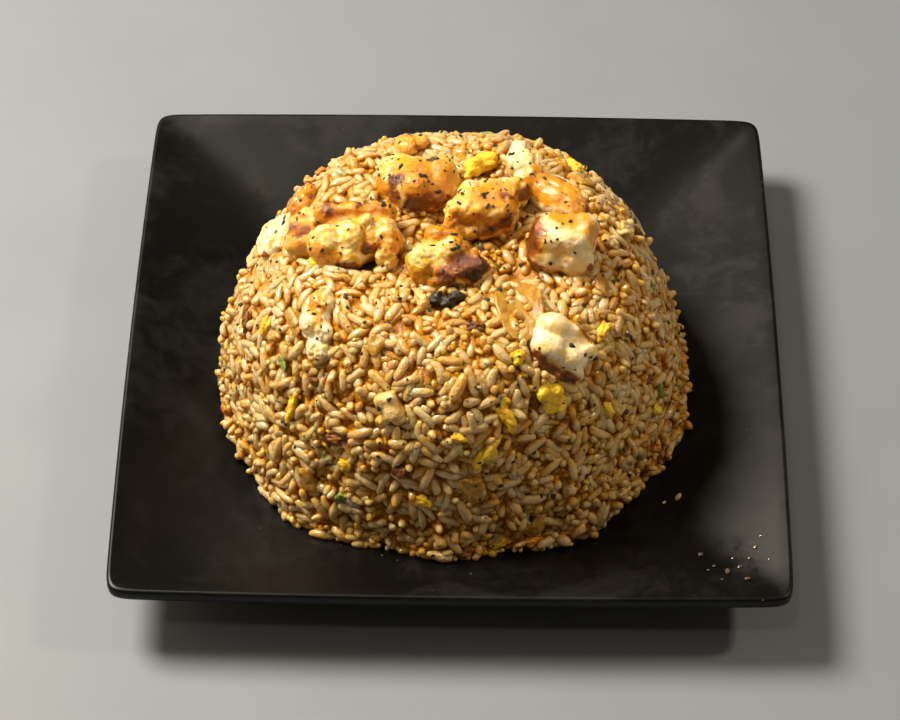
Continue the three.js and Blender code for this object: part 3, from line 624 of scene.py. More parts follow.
grains = {
    "count": 7800, "seed": 12, "flat": 0.86,
    "length": (9.0, 1.0), "lengthRange": (6.8, 11.2), "shortShare": 0.14, "shortRange": (4.6, 6.8),
    "width": (3.3, 0.26), "widthRange": (2.7, 4.0),
    "shell": 5.0,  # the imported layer's depth
    "skin": 1.2,  # the outermost grains reach this far out of the heap's surface
    "lumps": [(13, 1.5), (6, 1.0)],  # width and height of the lumps in that surface
    "crown": {"from": 44, "to": 20, "out": 0.9},  # not pressed flat, so it reaches further out
    "foot": {"from": 34, "to": 8, "out": 3.2, "wild": 0.35},  # sheds grains, measured up from the plate
    "wildShare": 0.09, "wildOut": 1.9,  # grains that stand up anyhow
    "squeeze": 0.68,  # cooked grains press into each other
    "rounds": 26,
    "balls": 4,  # each grain is packed as a row of this many balls
    "lift": 0.6,  # how far small bits lie out of the heap's surface
    "film": 2.1,  # the sticky film between the grains lies this far under their tops
    "bare": 0.6,  # and that far under the heap's surface where no grain lies
    "cell": 0.8,  # cells of the grid that holds the height of the tops
    "seen": 2.9,  # grains whose middle is deeper than this are hidden and left out
}

# small bits in the rice: around, down, width, length, thickness in millimetres, turn
scraps = {
    "egg": [(46, 57, 5, 7, 4, 30), (-34, 59, 3.2, 6.5, 3, -24), (-97, 98, 4, 6, 3, 50),
            (-78, 117, 6.5, 4, 3.5, 10), (-45, 81, 4, 5, 3, 0), (-68, 52, 5, 4.5, 3.5, 20),
            (-88, 74, 3, 5, 3, 70), (-29, 96, 3.5, 4.5, 3, 0), (-118, 92, 3, 5, 2.6, 40),
            (118, 80, 5, 7, 3.5, 40), (70, 96, 6, 5, 3.5, 0), (150, 98, 5, 6, 3, 90),
            (-168, 46, 5, 3.5, 2.6, 10), (-158, 70, 3, 6, 2.6, -20)],
    "onion": [(-85, 94, 7, 9, 2.4, 10), (-70, 113, 8, 5, 2.4, 30), (-119, 50, 8, 6, 2.4, 50),
              (-64, 30, 9, 6, 2.2, -20), (-20, 50, 6, 8, 2, 0), (35, 52, 9, 6, 2.4, 20),
              (-150, 60, 5, 9, 2.2, 30), (100, 64, 9, 6, 2.4, 0), (-128, 104, 6, 8, 2.2, 20)],
    "brown": [(-167, 78, 3.4, 8, 2.6, -14), (-123, 85, 8, 3.5, 2.6, 4), (17, 67, 6, 3, 3, 20),
              (-18, 80, 3.5, 5, 2.6, 0), (-87, 118, 8, 4, 4, 0), (-103, 88, 5, 4, 2.4, 30),
              (34, 90, 5, 3, 2.6, 0), (-80, 40, 7, 3.4, 3, -10), (-133, 70, 4, 3, 2.4, 0),
              (60, 75, 3, 6, 2.4, 10)],
    "orange": [(-167, 120, 6, 5, 4, 0), (-2, 110, 4, 7, 4, 30), (-71, 118, 5, 3.6, 3.2, 0),
               (-30, 112, 4, 3, 3, 0), (140, 60, 3.5, 5, 2.6, 0)],
    "green": [(-145, 73, 2.6, 5, 1.6, 20), (-118, 105, 3.4, 5, 1.8, -40), (-25, 92, 2, 6, 1.6, 14),
              (80, 60, 2.4, 5, 1.6, 60), (-3, 70, 2, 4.4, 1.4, 0)],
    "chicken": [(9, 55, 7, 5.5, 5, 20), (-110, 30, 4, 5, 4, 30), (-45, 115, 5, 4, 3.6, 0),
                (165, 82, 5, 6, 4, 0)],
}


def nodeCopy(name):
    # a free copy of a solid, with its loose triangles merged
    source = frame["nodes"][name]
    copy = bpy.data.objects.new(name + "_form", source.data.copy())
    scene.collection.objects.link(copy)
    only(copy)
    bpy.ops.object.mode_set(mode="EDIT")
    bpy.ops.mesh.select_all(action="SELECT")
    bpy.ops.mesh.remove_doubles(threshold=1e-6)
    bpy.ops.object.mode_set(mode="OBJECT")
    return copy


def shares(rows, many):
    # rows of a table whose first numbers are hundredths
    return [(*(np.array(row[:many]) / 100), *row[many:]) for row in rows]


def lobe(kind, place, size, soft):
    half = np.array(size) / 2
    at, reach = Vector(place[:3] * half) * mm, Vector(place[3:6] * half) * mm
    where = {"location": at, "scale": reach, "rotation": (0, 0, math.radians(place[6]))}
    if kind == "balls":
        thing = ball(4, **where)
    else:
        bpy.ops.mesh.primitive_cube_add(size=2, **where)
        thing = bpy.context.object
    settled(thing)
    if kind == "boxes":
        modify(thing, "BEVEL", width=soft * min(reach), segments=5, limit_method="NONE")
    return thing


def curdBalls(facts):
    # a scrambled lump is many small balls in a row of its own
    draw = np.random.default_rng(facts["seed"])
    balls = []
    for _ in range(facts["curds"]):
        x, y, z = draw.uniform(-0.62, 0.62, 3)
        r = draw.uniform(0.26, 0.46)
        wide, long = r * draw.uniform(0.9, 1.3), r * draw.uniform(0.9, 1.2)
        balls.append((x, y, z * 0.6, wide, long, r * 1.3, draw.uniform(0, 90)))
    return balls + [(0, 0, -0.1, 0.55, 0.6, 0.6, 0)]


def nearLine(points, start, end):
    # how far points are from a line between two places
    start, end = np.array(start), np.array(end)
    run = end - start
    share = np.clip((points - start) @ run / (run @ run), 0, 1)
    return np.linalg.norm(points - start - share[:, None] * run, axis=1)


def makeTopping(name, facts):
    matrix = standingOn(*facts["spot"])
    size, seed = np.array(facts["size"], float), facts["seed"]
    half = size / 2
    curdled, onion = "curds" in facts, facts["kind"] == "onion"
    if onion:
        thing = nodeCopy(name)
        p = placed(readPoints(thing) / mm, matrix.inverted()) - (0, 0, 1.1)  # sunk among the grains
        writePoints(thing, p * mm)
    else:
        soft = facts.get("soft", 0.4)
        balls = curdBalls(facts) if curdled else shares(facts["balls"], 6)
        parts = [lobe("balls", place, size, soft) for place in balls]
        parts += [lobe("boxes", place, size, soft) for place in shares(facts.get("boxes", []), 6)]
        thing = joined(parts, name + "_form")
    modify(thing, "REMESH", mode="VOXEL", voxel_size=facts.get("voxel", 0.33 if curdled else 0.45) * mm)
    modify(thing, "SMOOTH", factor=0.5, iterations=1 if curdled else 7)
    p = readPoints(thing) / mm
    if not onion:
        p[:, 0] += facts.get("lean", 0) * p[:, 1]
        low, high = p.min(axis=0), p.max(axis=0)
        p = (p - (low + high) / 2) * (size / (high - low))  # out to the solid's own size
    writePoints(thing, p)
    normal = readPoints(thing, "normal")
    broad = 1.5 if "boxes" in facts else 0.5
    swell = layers(p, seed, (6.5, 0.7), (3.4, 0.45), (1.7, 0.3), (1.0, 0.2), (11, broad))
    swell *= facts.get("rough", 0.8) * (0.5 if onion else 1)
    patchy = 0.35 + 0.65 * smoothStep(softNoise(p, 7, seed + 12), -0.25, 0.35)
    knobs = (nodules(p, 2.6, seed) - 0.5) * 0.7 + (nodules(p, 1.4, seed + 1) - 0.5) * 0.42
    swell += knobs * facts.get("knobs", 0.4 if curdled else 0) * patchy
    p = p + normal * swell[:, None]
    for *ends, wide, deep in shares(facts.get("creases", []), 6):
        start, end = np.reshape(ends, (2, 3)) * half
        off = nearLine(p, start, end) + softNoise(p, 2.5, seed + 5) * 0.5
        p = p - normal * (deep * np.exp(-((off / wide) ** 2)))[:, None]
    share = p / half
    ragged = layers(p, seed + 7, (3.2, 0.16), (1.3, 0.1))
    masks = []
    for key in ("gold", "sear", "char"):
        mask = np.zeros(len(p))
        for x, y, z, reach, amount in shares(facts.get(key, []), 5):
            away = np.linalg.norm(share - (x, y, z), axis=1) + ragged
            mask = np.maximum(mask, amount * smoothStep(away, reach * 1.3, reach * 0.55))
        masks.append(mask)
    if facts["kind"] in ("shrimp", "chicken"):  # more golden and seared towards the side that lies against the heap
        deep = share[:, 2]
        masks[0] = np.maximum(masks[0], 0.9 * smoothStep(deep, 0.0, -0.8))
        masks[1] = np.maximum(masks[1], 0.6 * smoothStep(deep + softNoise(p, 5, seed + 9) * 0.3, -0.55, -1.05))
    writePoints(thing, placed(p, matrix) * mm)
    paint(thing, "cooked", np.column_stack(masks))
    thing.name = name + "_cooked"
    thing.data.name = thing.name
    return thing


def fleshFinish(name, cream, white, gold, wet, relief):
    f = Finish(name)
    golden, seared, charred = f.painted("cooked")
    broad, fine = f.noise(3.6, 6, 0.66, distortion=0.8), f.noise(1.1, 5, 0.65)
    speckle = (broad - 0.5) * 1.5 + (fine - 0.5) * 0.9
    flesh = f.blend(f.band(broad + (fine - 0.5) * 0.5, 0.42, 0.58), cream, white)
    flesh = f.blend(f.band(golden + speckle, 0.0, 0.72) * 0.96, flesh, gold)
    flesh = f.blend(f.band(golden * 0.7 + speckle, 0.42, 0.95) * 0.9, flesh, (0.54, 0.17, 0.001))
    flesh = f.blend(f.band(seared + speckle * 0.8, 0.1, 0.6), flesh, (0.38, 0.10, 0.0008))
    flesh = f.blend(f.band(seared + speckle, 0.5, 1.0) * 0.96, flesh, (0.13, 0.030, 0.0003))
    flesh = f.blend(f.band(charred + speckle * 0.7, 0.4, 0.8), flesh, (0.02, 0.005, 0.0005))
    rough = f.band(fine, 0.3, 0.7, wet - 0.06, wet + 0.1) + f.band(seared, 0.3, 0.9) * 0.1
    bump = f.bump(fine + broad * 0.8 + f.noise(0.6, 3, 0.6) * 0.5, relief, 1.0)
    return f.surface(Base_Color=flesh, Roughness=rough, Normal=bump, soft=(0.4, 1.4, 1.0, 0.4),
                     Specular_IOR_Level=0.6,
                     Coat_Weight=f.band(seared, 0.2, 0.8, 0.3, 0.05), Coat_Roughness=0.05)


def eggFinish():
    f = Finish("scrambled egg")
    broad, fine = f.noise(3, 4), f.noise(0.9, 3)
    # yellow and deeper orange in patches: the egg's lit and shaded tones, painted light and shade
    colour = f.blend(f.band(broad, 0.38, 0.66), (0.84, 0.58, 0.02), (0.72, 0.36, 0.006))
    # pale speckles: painted highlights
    colour = f.blend(f.band(fine, 0.55, 0.75) * 0.6, colour, (0.88, 0.72, 0.22))
    return f.surface(Base_Color=colour, Roughness=f.band(fine, 0.3, 0.7, 0.25, 0.5),
                     Normal=f.bump(fine + broad, 0.6, 0.9), soft=(0.2, 1.8, 1.0, 0.3))


def onionFinish():
    f = Finish("fried onion")
    grain, broad = f.noise(1.5, 4, 0.6, f.stretched((1, 0.35, 1), 0.2)), f.noise(5, 4)
    colour = f.blend(f.band(grain, 0.35, 0.65), (0.54, 0.26, 0.02), (0.72, 0.45, 0.10))
    colour = f.blend(f.band(broad, 0.5, 0.68) * 0.8, colour, (0.38, 0.15, 0.006))
    return f.surface(Base_Color=colour, Roughness=f.band(grain, 0.3, 0.7, 0.08, 0.2),
                     Normal=f.bump(grain, 0.7, 0.9), soft=(0.5, 2.4, 1.4, 0.4), Transmission_Weight=0.4,
                     IOR=1.36, Specular_IOR_Level=0.8)


def grainyFinish(name, patch, spread, colours, rough, relief):
    # one noise gives the colour, the roughness and the relief
    f = Finish(name)
    fine = f.noise(*patch)
    return f.surface(Base_Color=f.blend(f.band(fine, *spread), *colours),
                     Roughness=f.band(fine, 0.3, 0.7, *rough), Normal=f.bump(fine, *relief))


def scrapFinish(name, first, second, rough):
    f = Finish(name)
    broad, fine = f.noise(2.4, 4), f.noise(0.8, 3)
    return f.surface(Base_Color=f.blend(f.band(broad, 0.4, 0.64), first, second),
                     Roughness=f.band(fine, 0.3, 0.7, rough - 0.1, rough + 0.1),
                     Normal=f.bump(fine + broad, 0.5, 0.9), Specular_IOR_Level=0.35)


foodFinish = {
    "shrimp": fleshFinish("seared shrimp", (0.74, 0.42, 0.02), (0.88, 0.68, 0.30), (0.68, 0.29, 0.001),
                          0.10, 0.5),
    "pale": fleshFinish("pale shrimp", (0.88, 0.64, 0.25), (0.91, 0.79, 0.56), (0.72, 0.33, 0.003),
                        0.08, 0.34),
    "chicken": fleshFinish("cooked chicken", (0.74, 0.46, 0.10), (0.82, 0.62, 0.28), (0.66, 0.31, 0.01),
                           0.18, 0.5),
    "egg": eggFinish(), "onion": onionFinish(),
    "burnt": grainyFinish("charred scrap", (1.0, 4), (0.4, 0.7),
                          ((0.006, 0.004, 0.002), (0.024, 0.011, 0.004)), (0.25, 0.6), (0.6, 0.9)),
    "brown": scrapFinish("roasted scraps", (0.09, 0.024, 0.002), (0.30, 0.10, 0.008), 0.35),
    "orange": scrapFinish("orange scraps", (0.55, 0.16, 0.014), (0.70, 0.28, 0.02), 0.3),
    "green": scrapFinish("scallion scraps", (0.10, 0.13, 0.02), (0.30, 0.32, 0.06), 0.3),
}
slots = {row["node"]: row["material_slot"] for row in frame["record"]["subparts"]}
cookedPieces = []
for name, facts in toppings.items():
    material = foodFinish[facts.get("finish", facts["kind"])]
    cookedPieces.append(finished(makeTopping(name, facts), material, slots[name], name))
print("toppings:", sum(len(thing.data.polygons) for thing in cookedPieces), "faces")


def makeScraps(kind, rows):
    # ragged little lumps, joined into one piece
    parts = []
    for i, (around, down, *size, turn) in enumerate(rows):
        thing = ball(4)
        p = readPoints(thing)
        ragged = 1 + layers(p, i + len(kind) * 7, (0.9, 0.34), (0.42, 0.24))
        if kind in ("onion", "green", "chicken"):  # boxy
            p = np.abs(p) ** 0.7 * np.sign(p)
        p = p * ragged[:, None] * (np.array(size) / 2)
        if kind == "onion":  # curved
            p[:, 2] -= (p[:, 0] / size[0]) ** 2 * 4
        writePoints(thing, placed(p, standingOn(around, down, 0.5 + grains["lift"], turn)) * mm)
        parts.append(thing)
    return joined(parts, kind + "_scraps")


scrapSlots = {"brown": "burnt", "orange": "golden_bits", "green": "scallion"}
for kind, rows in scraps.items():
    cookedPieces.append(finished(makeScraps(kind, rows), foodFinish[kind], scrapSlots.get(kind, kind)))
print("scraps:", sum(len(rows) for rows in scraps.values()))


# the rice: a core, and the grains that lie over it

def ballPairs(centres, size):
    # pairs of balls in the same or neighbouring cells
    cell = np.floor(centres / size).astype(np.int64) + 512
    key = (cell[:, 0] << 40) + (cell[:, 1] << 20) + cell[:, 2]
    order = np.argsort(key, kind="stable")
    ordered = key[order]
    first, second = [], []
    steps = [(i, j, k) for i in (-1, 0, 1) for j in (-1, 0, 1) for k in (-1, 0, 1) if (i, j, k) >= (0, 0, 0)]
    for i, j, k in steps:
        wanted = key + (i << 40) + (j << 20) + k
        low = np.searchsorted(ordered, wanted, "left")
        high = np.searchsorted(ordered, wanted, "right")
        many = high - low
        one = np.repeat(np.arange(len(key)), many)
        offset = np.arange(len(one)) - np.repeat(np.cumsum(many) - many, many)
        other = order[np.repeat(low, many) + offset]
        keep = one < other if (i, j, k) == (0, 0, 0) else slice(None)
        first.append(one[keep])
        second.append(other[keep])
    return np.concatenate(first), np.concatenate(second)


def toppingShapes():
    # each topping as an ellipsoid that keeps grains out: middle, axes and half sizes
    things = [(facts["spot"], np.array(facts["size"]) / 2)
              for facts in toppings.values() if facts["kind"] != "onion"]  # grains stick to onion
    for rows in scraps.values():
        for around, down, width, length, thick, turn in rows:
            things.append(((around, down, 1.4, turn), np.array((width, length, thick + 2)) / 2.4))
    shapes = []
    for spot, half in things:
        matrix = np.array(standingOn(*spot))
        shapes.append((matrix[:3, 3] - heapCentre, matrix[:3, :3].T, half))
    return shapes


def clumpAt(points):
    # how far the lumpy outer face stands out of the smooth heap
    return layers(points, 21, *grains["lumps"])


def packGrains():
    draw = np.random.default_rng(grains["seed"])
    count = grains["count"]
    # drawn evenly over the heap's surface
    down = draw.random(count * 4) * sideLength
    down = down[draw.random(len(down)) * heap["footRadius"] < np.interp(down, profileS, profileR)][:count]
    count = len(down)
    around = draw.random(count) * math.tau
    depth = grains["shell"] * draw.random(count)
    centre, normal = heapSpot(around, down)
    centre -= normal * depth[:, None]
    anyWay = unit(draw.normal(size=(count, 3)))
    axis = unit(anyWay - normal * (np.sum(anyWay * normal, axis=1) * draw.uniform(0.1, 1, count))[:, None])
    length = np.clip(draw.normal(*grains["length"], count), *grains["lengthRange"])
    short = draw.random(count) < grains["shortShare"]
    length[short] = draw.uniform(*grains["shortRange"], short.sum())
    width = np.clip(draw.normal(*grains["width"], count), *grains["widthRange"])
    crown, foot = grains["crown"], grains["foot"]
    loose = smoothStep(down, sideLength - foot["from"], sideLength - foot["to"]) * draw.random(count) ** 2
    clump = clumpAt(centre) + loose * foot["out"]
    wild = draw.random(count) < grains["wildShare"] + loose * foot["wild"]
    axis[wild] = unit(normal[wild] + draw.normal(0, 0.5, (wild.sum(), 3)))
    clump[wild] += grains["wildOut"]
    lifted = smoothStep(down, crown["from"], crown["to"]) * crown["out"]
    balls = grains["balls"]
    radius = width * (1 + grains["flat"]) / 4 * grains["squeeze"]
    half = np.maximum(length / 2 - radius, 0.4)
    along = np.linspace(-1, 1, balls)
    owner = np.repeat(np.arange(count), balls)
    ballRadius = radius[owner]
    limit = grains["skin"] - ballRadius + lifted[owner] + clump[owner]
    shapes = toppingShapes()
    for _ in range(grains["rounds"]):
        spots = (centre[:, None] + axis[:, None] * (along[:, None] * half[:, None, None])).reshape(-1, 3)
        a, b = ballPairs(spots, 2 * ballRadius.max())
        apart = spots[a] - spots[b]
        distance = np.linalg.norm(apart, axis=1)
        overlap = ballRadius[a] + ballRadius[b] - distance
        keep = (overlap > 0) & (owner[a] != owner[b])
        a, b = a[keep], b[keep]
        shove = apart[keep] / np.maximum(distance[keep], 1e-6)[:, None] * (overlap[keep] * 0.5)[:, None]
        many = len(spots)
        push = np.column_stack([np.bincount(a, way, many) - np.bincount(b, way, many) for way in shove.T])
        hits = np.bincount(a, minlength=many) + np.bincount(b, minlength=many)
        push /= np.maximum(hits * 0.6, 1)[:, None]
        rise, out, _, _ = heapRise(spots)
        push -= out * np.maximum(rise + np.sum(push * out, axis=1) - limit, 0)[:, None]
        push += out * (np.maximum(-rise - grains["shell"], 0) * 0.6 + 0.02)[:, None]
        floor = dishAt(spots[:, 0] + heap["x"], spots[:, 1] + heap["y"]) + ballRadius * 0.9
        push[:, 2] += np.maximum(floor - spots[:, 2] - push[:, 2], 0)
        for middle, axes, size in shapes:
            local = (spots - middle) @ axes.T
            wide = size + ballRadius[:, None] * 0.8
            reach = np.linalg.norm(local / wide, axis=1)
            inside = (reach < 1) & (reach > 0.2)
            way = unit(local[inside] / wide[inside] ** 2)
            push[inside] += (way * ((1 - reach[inside]) * wide[inside].min(axis=1) * 0.5)[:, None]) @ axes
        spots = (spots + push * 0.9).reshape(count, balls, 3)
        centre = spots.mean(axis=1)
        axis = unit(np.einsum("nbk,b->nk", spots, along) + axis * 1e-6)
    shown = heapRise(centre)[0] - clumpAt(centre) > -grains["seen"]
    kept = {"centre": centre, "axis": axis, "length": length[:, None], "width": width[:, None]}
    return {key: values[shown] for key, values in kept.items()}, draw


def unrolled(around, down):
    # places on the heap laid out flat from its crown, in cells
    return (down * np.array([np.cos(around), np.sin(around)]) + sideLength + 4) / grains["cell"]


def topsOf(points):
    # the softened height of the grains' tops over the smooth heap, on the flat grid
    rise, _, around, down = heapRise(points)
    many = int(2 * (sideLength + 4) / grains["cell"]) + 2
    i, j = unrolled(around, down).astype(int)
    tops = np.full((many, many), -grains["bare"])
    np.maximum.at(tops, (i, j), rise)
    for axis in (0, 1):
        tops = np.maximum(tops, np.maximum(np.roll(tops, 1, axis), np.roll(tops, -1, axis)))
    for _ in range(5):
        for axis in (0, 1):
            tops = (np.roll(tops, 1, axis) + 2 * tops + np.roll(tops, -1, axis)) / 4
    return tops


def topAt(tops, around, down):
    x, y = unrolled(around, down)
    i, j = x.astype(int), y.astype(int)
    u, v = x - i, y - j
    near = tops[i, j] * (1 - u) + tops[i + 1, j] * u
    far = tops[i, j + 1] * (1 - u) + tops[i + 1, j + 1] * u
    return near * (1 - v) + far * v


def grainForm():
    # one grain two units long and wide, its length along X
    bpy.ops.mesh.primitive_uv_sphere_add(segments=8, ring_count=7, radius=1, rotation=(0, math.pi / 2, 0))
    settled(bpy.context.object)
    return taken(bpy.context.object)


def makeGrains(bed, draw):
    form, faces = grainForm()
    centre, axis, length, width = bed["centre"], bed["axis"], bed["length"], bed["width"]
    count = len(centre)
    out = heapRise(centre)[1]
    side = unit(np.cross(out, axis) + draw.normal(0, 0.25, (count, 3)))
    up = unit(np.cross(axis, side))
    side = np.cross(up, axis)
    taper = draw.uniform(-0.16, 0.16, count)[:, None]
    bend = draw.normal(0, 0.05, count)[:, None]
    sag = draw.normal(0.03, 0.04, count)[:, None]
    along, across, high = form.T[:, None]
    girth = np.maximum(np.hypot(across, high), 1e-6)
    bluntA, bluntB = draw.uniform(-0.6, -0.06, (2, count))[..., None]
    # fuller than a ball at either end
    fullness = (1 + taper * along) * girth ** np.where(along > 0, bluntA, bluntB)
    arc = along ** 2 - 0.4
    x = along * (length / 2)
    y = across * (width / 2) * fullness + bend * length * arc
    z = high * (width * grains["flat"] / 2) * fullness - sag * length * arc
    points = centre[:, None]
    for reach, way in ((x, axis), (y, side), (z, up)):
        points = points + reach[..., None] * way[:, None]
    wobble = layers(points.reshape(-1, 3), 6, (2.8, 0.36), (1.4, 0.22)).reshape(x.shape)
    points = points + unit(points - centre[:, None]) * wobble[..., None]
    face = points.reshape(-1, 3)
    tops = topsOf(face)
    rise, _, around, down = heapRise(face)
    # how far each point lies under the grains' softened tops, for painted shade in the gaps
    sunk = np.clip((topAt(tops, around, down) - rise) / 3.4 + 0.1, 0, 1).reshape(x.shape)
    tone = draw.random(count)[:, None]
    patch = layers(centre, 3, (14, 0.6), (5, 0.4))
    sauce = np.clip(0.45 + 0.45 * patch + draw.normal(0, 0.16, count), 0, 1)[:, None]
    rim = 0.5 - 0.5 * high + 0.25 * np.abs(along) ** 3  # painted shade low on each grain and at its tips, with the sauce that gathers there
    toneAndUnderShade = np.clip(rim * 0.75 + (tone - 0.5) * 0.6, 0, 1)
    colours = np.stack([toneAndUnderShade, np.broadcast_to(sauce, x.shape), sunk], axis=-1)
    parts = []
    for part, letter in enumerate("abcd"):
        chosen = np.arange(part, count, 4)
        allFaces = [tuple(v + i * len(form) for v in face) for i in range(len(chosen)) for face in faces]
        thing = meshOf("rice_grains_" + letter, (points[chosen].reshape(-1, 3) + heapCentre) * mm, allFaces)
        paint(thing, "grainToneAndShade", colours[chosen].reshape(-1, 3))
        parts.append(thing)
    return parts, tops


def riceFinish():
    f = Finish("cooked rice")
    toneAndUnderShade, sauce, sunk = f.painted("grainToneAndShade")
    mottle, film = f.noise(1.7, 3), f.noise(6, 4)
    uneven = (mottle - 0.5) * 0.6
    # straw above, amber below: random tone, with painted shade on the underside of each grain
    colour = f.blend(f.band(toneAndUnderShade + uneven, 0.1, 0.85), (0.87, 0.66, 0.33), (0.85, 0.50, 0.07))
    colour = f.blend(f.band(film + uneven * 0.3, 0.42, 0.68) * 0.65, colour, (0.82, 0.42, 0.018))
    colour = f.blend(f.band(sauce, 0.5, 1.0) * 0.52, colour, (0.62, 0.26, 0.006))
    # amber, then dark brown, deeper between the grains: painted shade, with the sauce that gathers there
    deep = sunk + uneven * 0.3
    colour = f.blend(f.band(deep, 0.15, 0.5) * 0.95, colour, (0.69, 0.30, 0.006))
    colour = f.blend(f.band(deep, 0.45, 0.9) * 0.94, colour, (0.25, 0.072, 0.001))
    relief = f.bump(f.noise(1.4, 2, 0.5) + f.noise(0.6, 2, 0.5) * 0.6, 0.5)
    return f.surface(Base_Color=colour, Roughness=f.band(mottle, 0.3, 0.7, 0.05, 0.15), Normal=relief,
                     soft=(0.9, 1.4, 1.3, 1.0), Specular_IOR_Level=0.55, Transmission_Weight=0.34, IOR=1.4,
                     Coat_Weight=f.band(sunk, 0.15, 0.5, 1.0, 0.0), Coat_Roughness=0.04)


def makeCore(tops):
    # a closed core under the grains: its face hangs between their tops, and its base is just above the plate
    thing = ball(7)
    p = unit(readPoints(thing))
    around = np.arctan2(p[:, 1], p[:, 0])
    faceShare = 0.85  # of the ball, for the face, and the rest for the base
    share = (1 - p[:, 2]) / 2 / faceShare  # equal areas of the ball cover equal areas of the heap
    area = np.cumsum(profileR * np.gradient(profileS))
    down = np.interp(share, area / area[-1], profileS)
    point, normal = heapSpot(around, down)
    under = np.clip((share - 1) / (1 / faceShare - 1), 0, 1)
    lumps = layers(point, 8, (3.0, 0.35), (1.5, 0.2))
    face = np.where(under > 0, -1.5, topAt(tops, around, down) - grains["film"] + lumps)
    point += normal * face[:, None]
    point[:, :2] *= np.sqrt(1 - under)[:, None]
    point[:, 2] -= np.minimum(under * 12, 1) * 4
    floor = dishAt(point[:, 0] + heap["x"], point[:, 1] + heap["y"]) + 0.15
    point[:, 2] = np.maximum(point[:, 2], floor)
    writePoints(thing, (point + heapCentre) * mm)
    # how deep the face lies under the grains' tops, for painted shade
    paint(thing, "depth", -face[:, None] / 4)
    thing.name = "rice_core"
    return thing


def sauceFinish():
    f = Finish("sticky film between the grains")
    depth = f.painted("depth")[0]
    deep, fine = f.noise(4, 4), f.noise(1.0, 3)
    colour = f.blend(f.band(deep + (fine - 0.5) * 0.5, 0.36, 0.66), (0.30, 0.10, 0.002), (0.60, 0.26, 0.008))
    # darker where the film lies deeper: painted shade in the gaps, with the sauce pooled there
    colour = f.blend(f.band(depth, 0.3, 0.8) * 0.9, colour, (0.12, 0.036, 0.001))
    return f.surface(Base_Color=colour, Roughness=f.band(fine, 0.3, 0.7, 0.06, 0.2), Normal=f.bump(fine, 0.5),
                     soft=(0.6, 1.8, 1.1, 0.4), Specular_IOR_Level=0.35)


bed, draw = packGrains()
rice = riceFinish()
grainParts, tops = makeGrains(bed, draw)
riceParts = [finished(thing, rice, "rice", "rice") for thing in grainParts]
core = finished(makeCore(tops), sauceFinish(), "rice", "rice")
print("core:", len(core.data.polygons), "faces")
print("grains:", len(bed["centre"]))


# black pepper, thrown over everything, thickest on the shrimp
pepper = {
    "seed": 5, "size": (0.42, 0.88), "bigShare": 0.16, "bigSize": (0.95, 1.35),
    "onShrimp": {"shrimp_back_left": 46, "shrimp_middle": 34, "shrimp_left": 34, "shrimp_front": 22,
                 "shrimp_cube": 18, "shrimp_back_right": 14, "shrimp_white": 8, "chicken_front_left": 7,
                 "chicken_left_golden": 4, "chicken_left_flat": 4, "golden_bit_back": 5, "onion_petal": 3,
                 "shrimp_tail": 4, "chicken_front_small": 1},
    "onRice": 820, "tries": 400,
    "above": 30, "aboveRice": 24,  # how far over a topping and over the rice a flake starts to fall
}


def flake(draw, spot, normal, size):
    # one angular shard of a crushed peppercorn
    p, faces = taken(ball(1))
    p = p * draw.uniform(0.6, 1.25, (len(p), 1))
    across = unit(np.cross(normal, draw.normal(size=3)))
    ahead = np.cross(normal, across)
    stretch = draw.uniform(0.9, 1.7)
    p = p * (size * stretch, size / stretch ** 0.5, size * 0.5)
    return spot + p[:, :1] * across + p[:, 1:2] * ahead + (p[:, 2:] + size * 0.12) * normal, faces


def fallen(trees, start, way, far):
    # where a flake comes to lie on the nearest of some things, or nothing
    hits = [tree.ray_cast(start * mm, way, far * mm) for tree in trees]
    hits = [hit for hit in hits if hit[0] is not None]
    if not hits:
        return []
    spot, normal, _, _ = min(hits, key=lambda hit: hit[3])
    return [(np.array(spot) / mm, np.array(normal))]


def makePepper(grainPieces):
    draw = np.random.default_rng(pepper["seed"])
    low, high = pepper["size"]
    spots = []
    depsgraph = bpy.context.evaluated_depsgraph_get()
    for thing in cookedPieces:
        name = thing.name.removesuffix("_cooked")
        if name not in pepper["onShrimp"]:
            continue
        tree = BVHTree.FromObject(thing, depsgraph)
        matrix = standingOn(*toppings[name]["spot"])
        out = matrix.to_3x3() @ Vector((0, 0, 1))
        half = np.array(toppings[name]["size"]) / 2
        found = []
        for _ in range(pepper["tries"]):
            aim = Vector((*(draw.uniform(-1.05, 1.05, 2) * half[:2]), draw.uniform(-0.6, 0.3) * half[2]))
            tilt = (out + Vector(draw.normal(0, 0.55, 3))).normalized()
            found += fallen([tree], matrix @ aim + tilt * pepper["above"], -tilt, pepper["above"] + 2)
            if len(found) == pepper["onShrimp"][name]:
                break
        spots += found
    trees = [BVHTree.FromObject(thing, depsgraph) for thing in grainPieces + cookedPieces]
    for _ in range(pepper["onRice"]):
        down = sideLength * draw.random() ** 0.62 * 0.99
        point, normal = heapSpot(draw.random() * math.tau, down)
        way = Vector(normal[0])
        start = Vector(point[0] + heapCentre) + way * pepper["aboveRice"]
        spots += fallen(trees, start, -way, pepper["aboveRice"] + 6)
    points, faces = [], []
    for spot, normal in spots:
        big = draw.random() < pepper["bigShare"]
        size = draw.uniform(*pepper["bigSize"]) if big else low + (high - low) * draw.random() ** 1.5
        shard, shardFaces = flake(draw, spot, normal, size * 0.8)
        faces += [tuple(v + len(shard) * len(points) for v in face) for face in shardFaces]
        points.append(shard)
    return meshOf("pepper_flakes", np.concatenate(points) * mm, faces), len(spots)


flakes, flakeCount = makePepper(riceParts)
black = grainyFinish("crushed black pepper", (0.5, 3), (0.5, 0.7),
                     ((0.008, 0.006, 0.005), (0.06, 0.035, 0.018)), (0.5, 0.8), (0.2, 0.8))
finished(flakes, black, "pepper")
only(flakes)
bpy.ops.object.shade_flat()
print("pepper:", flakeCount, "flakes")


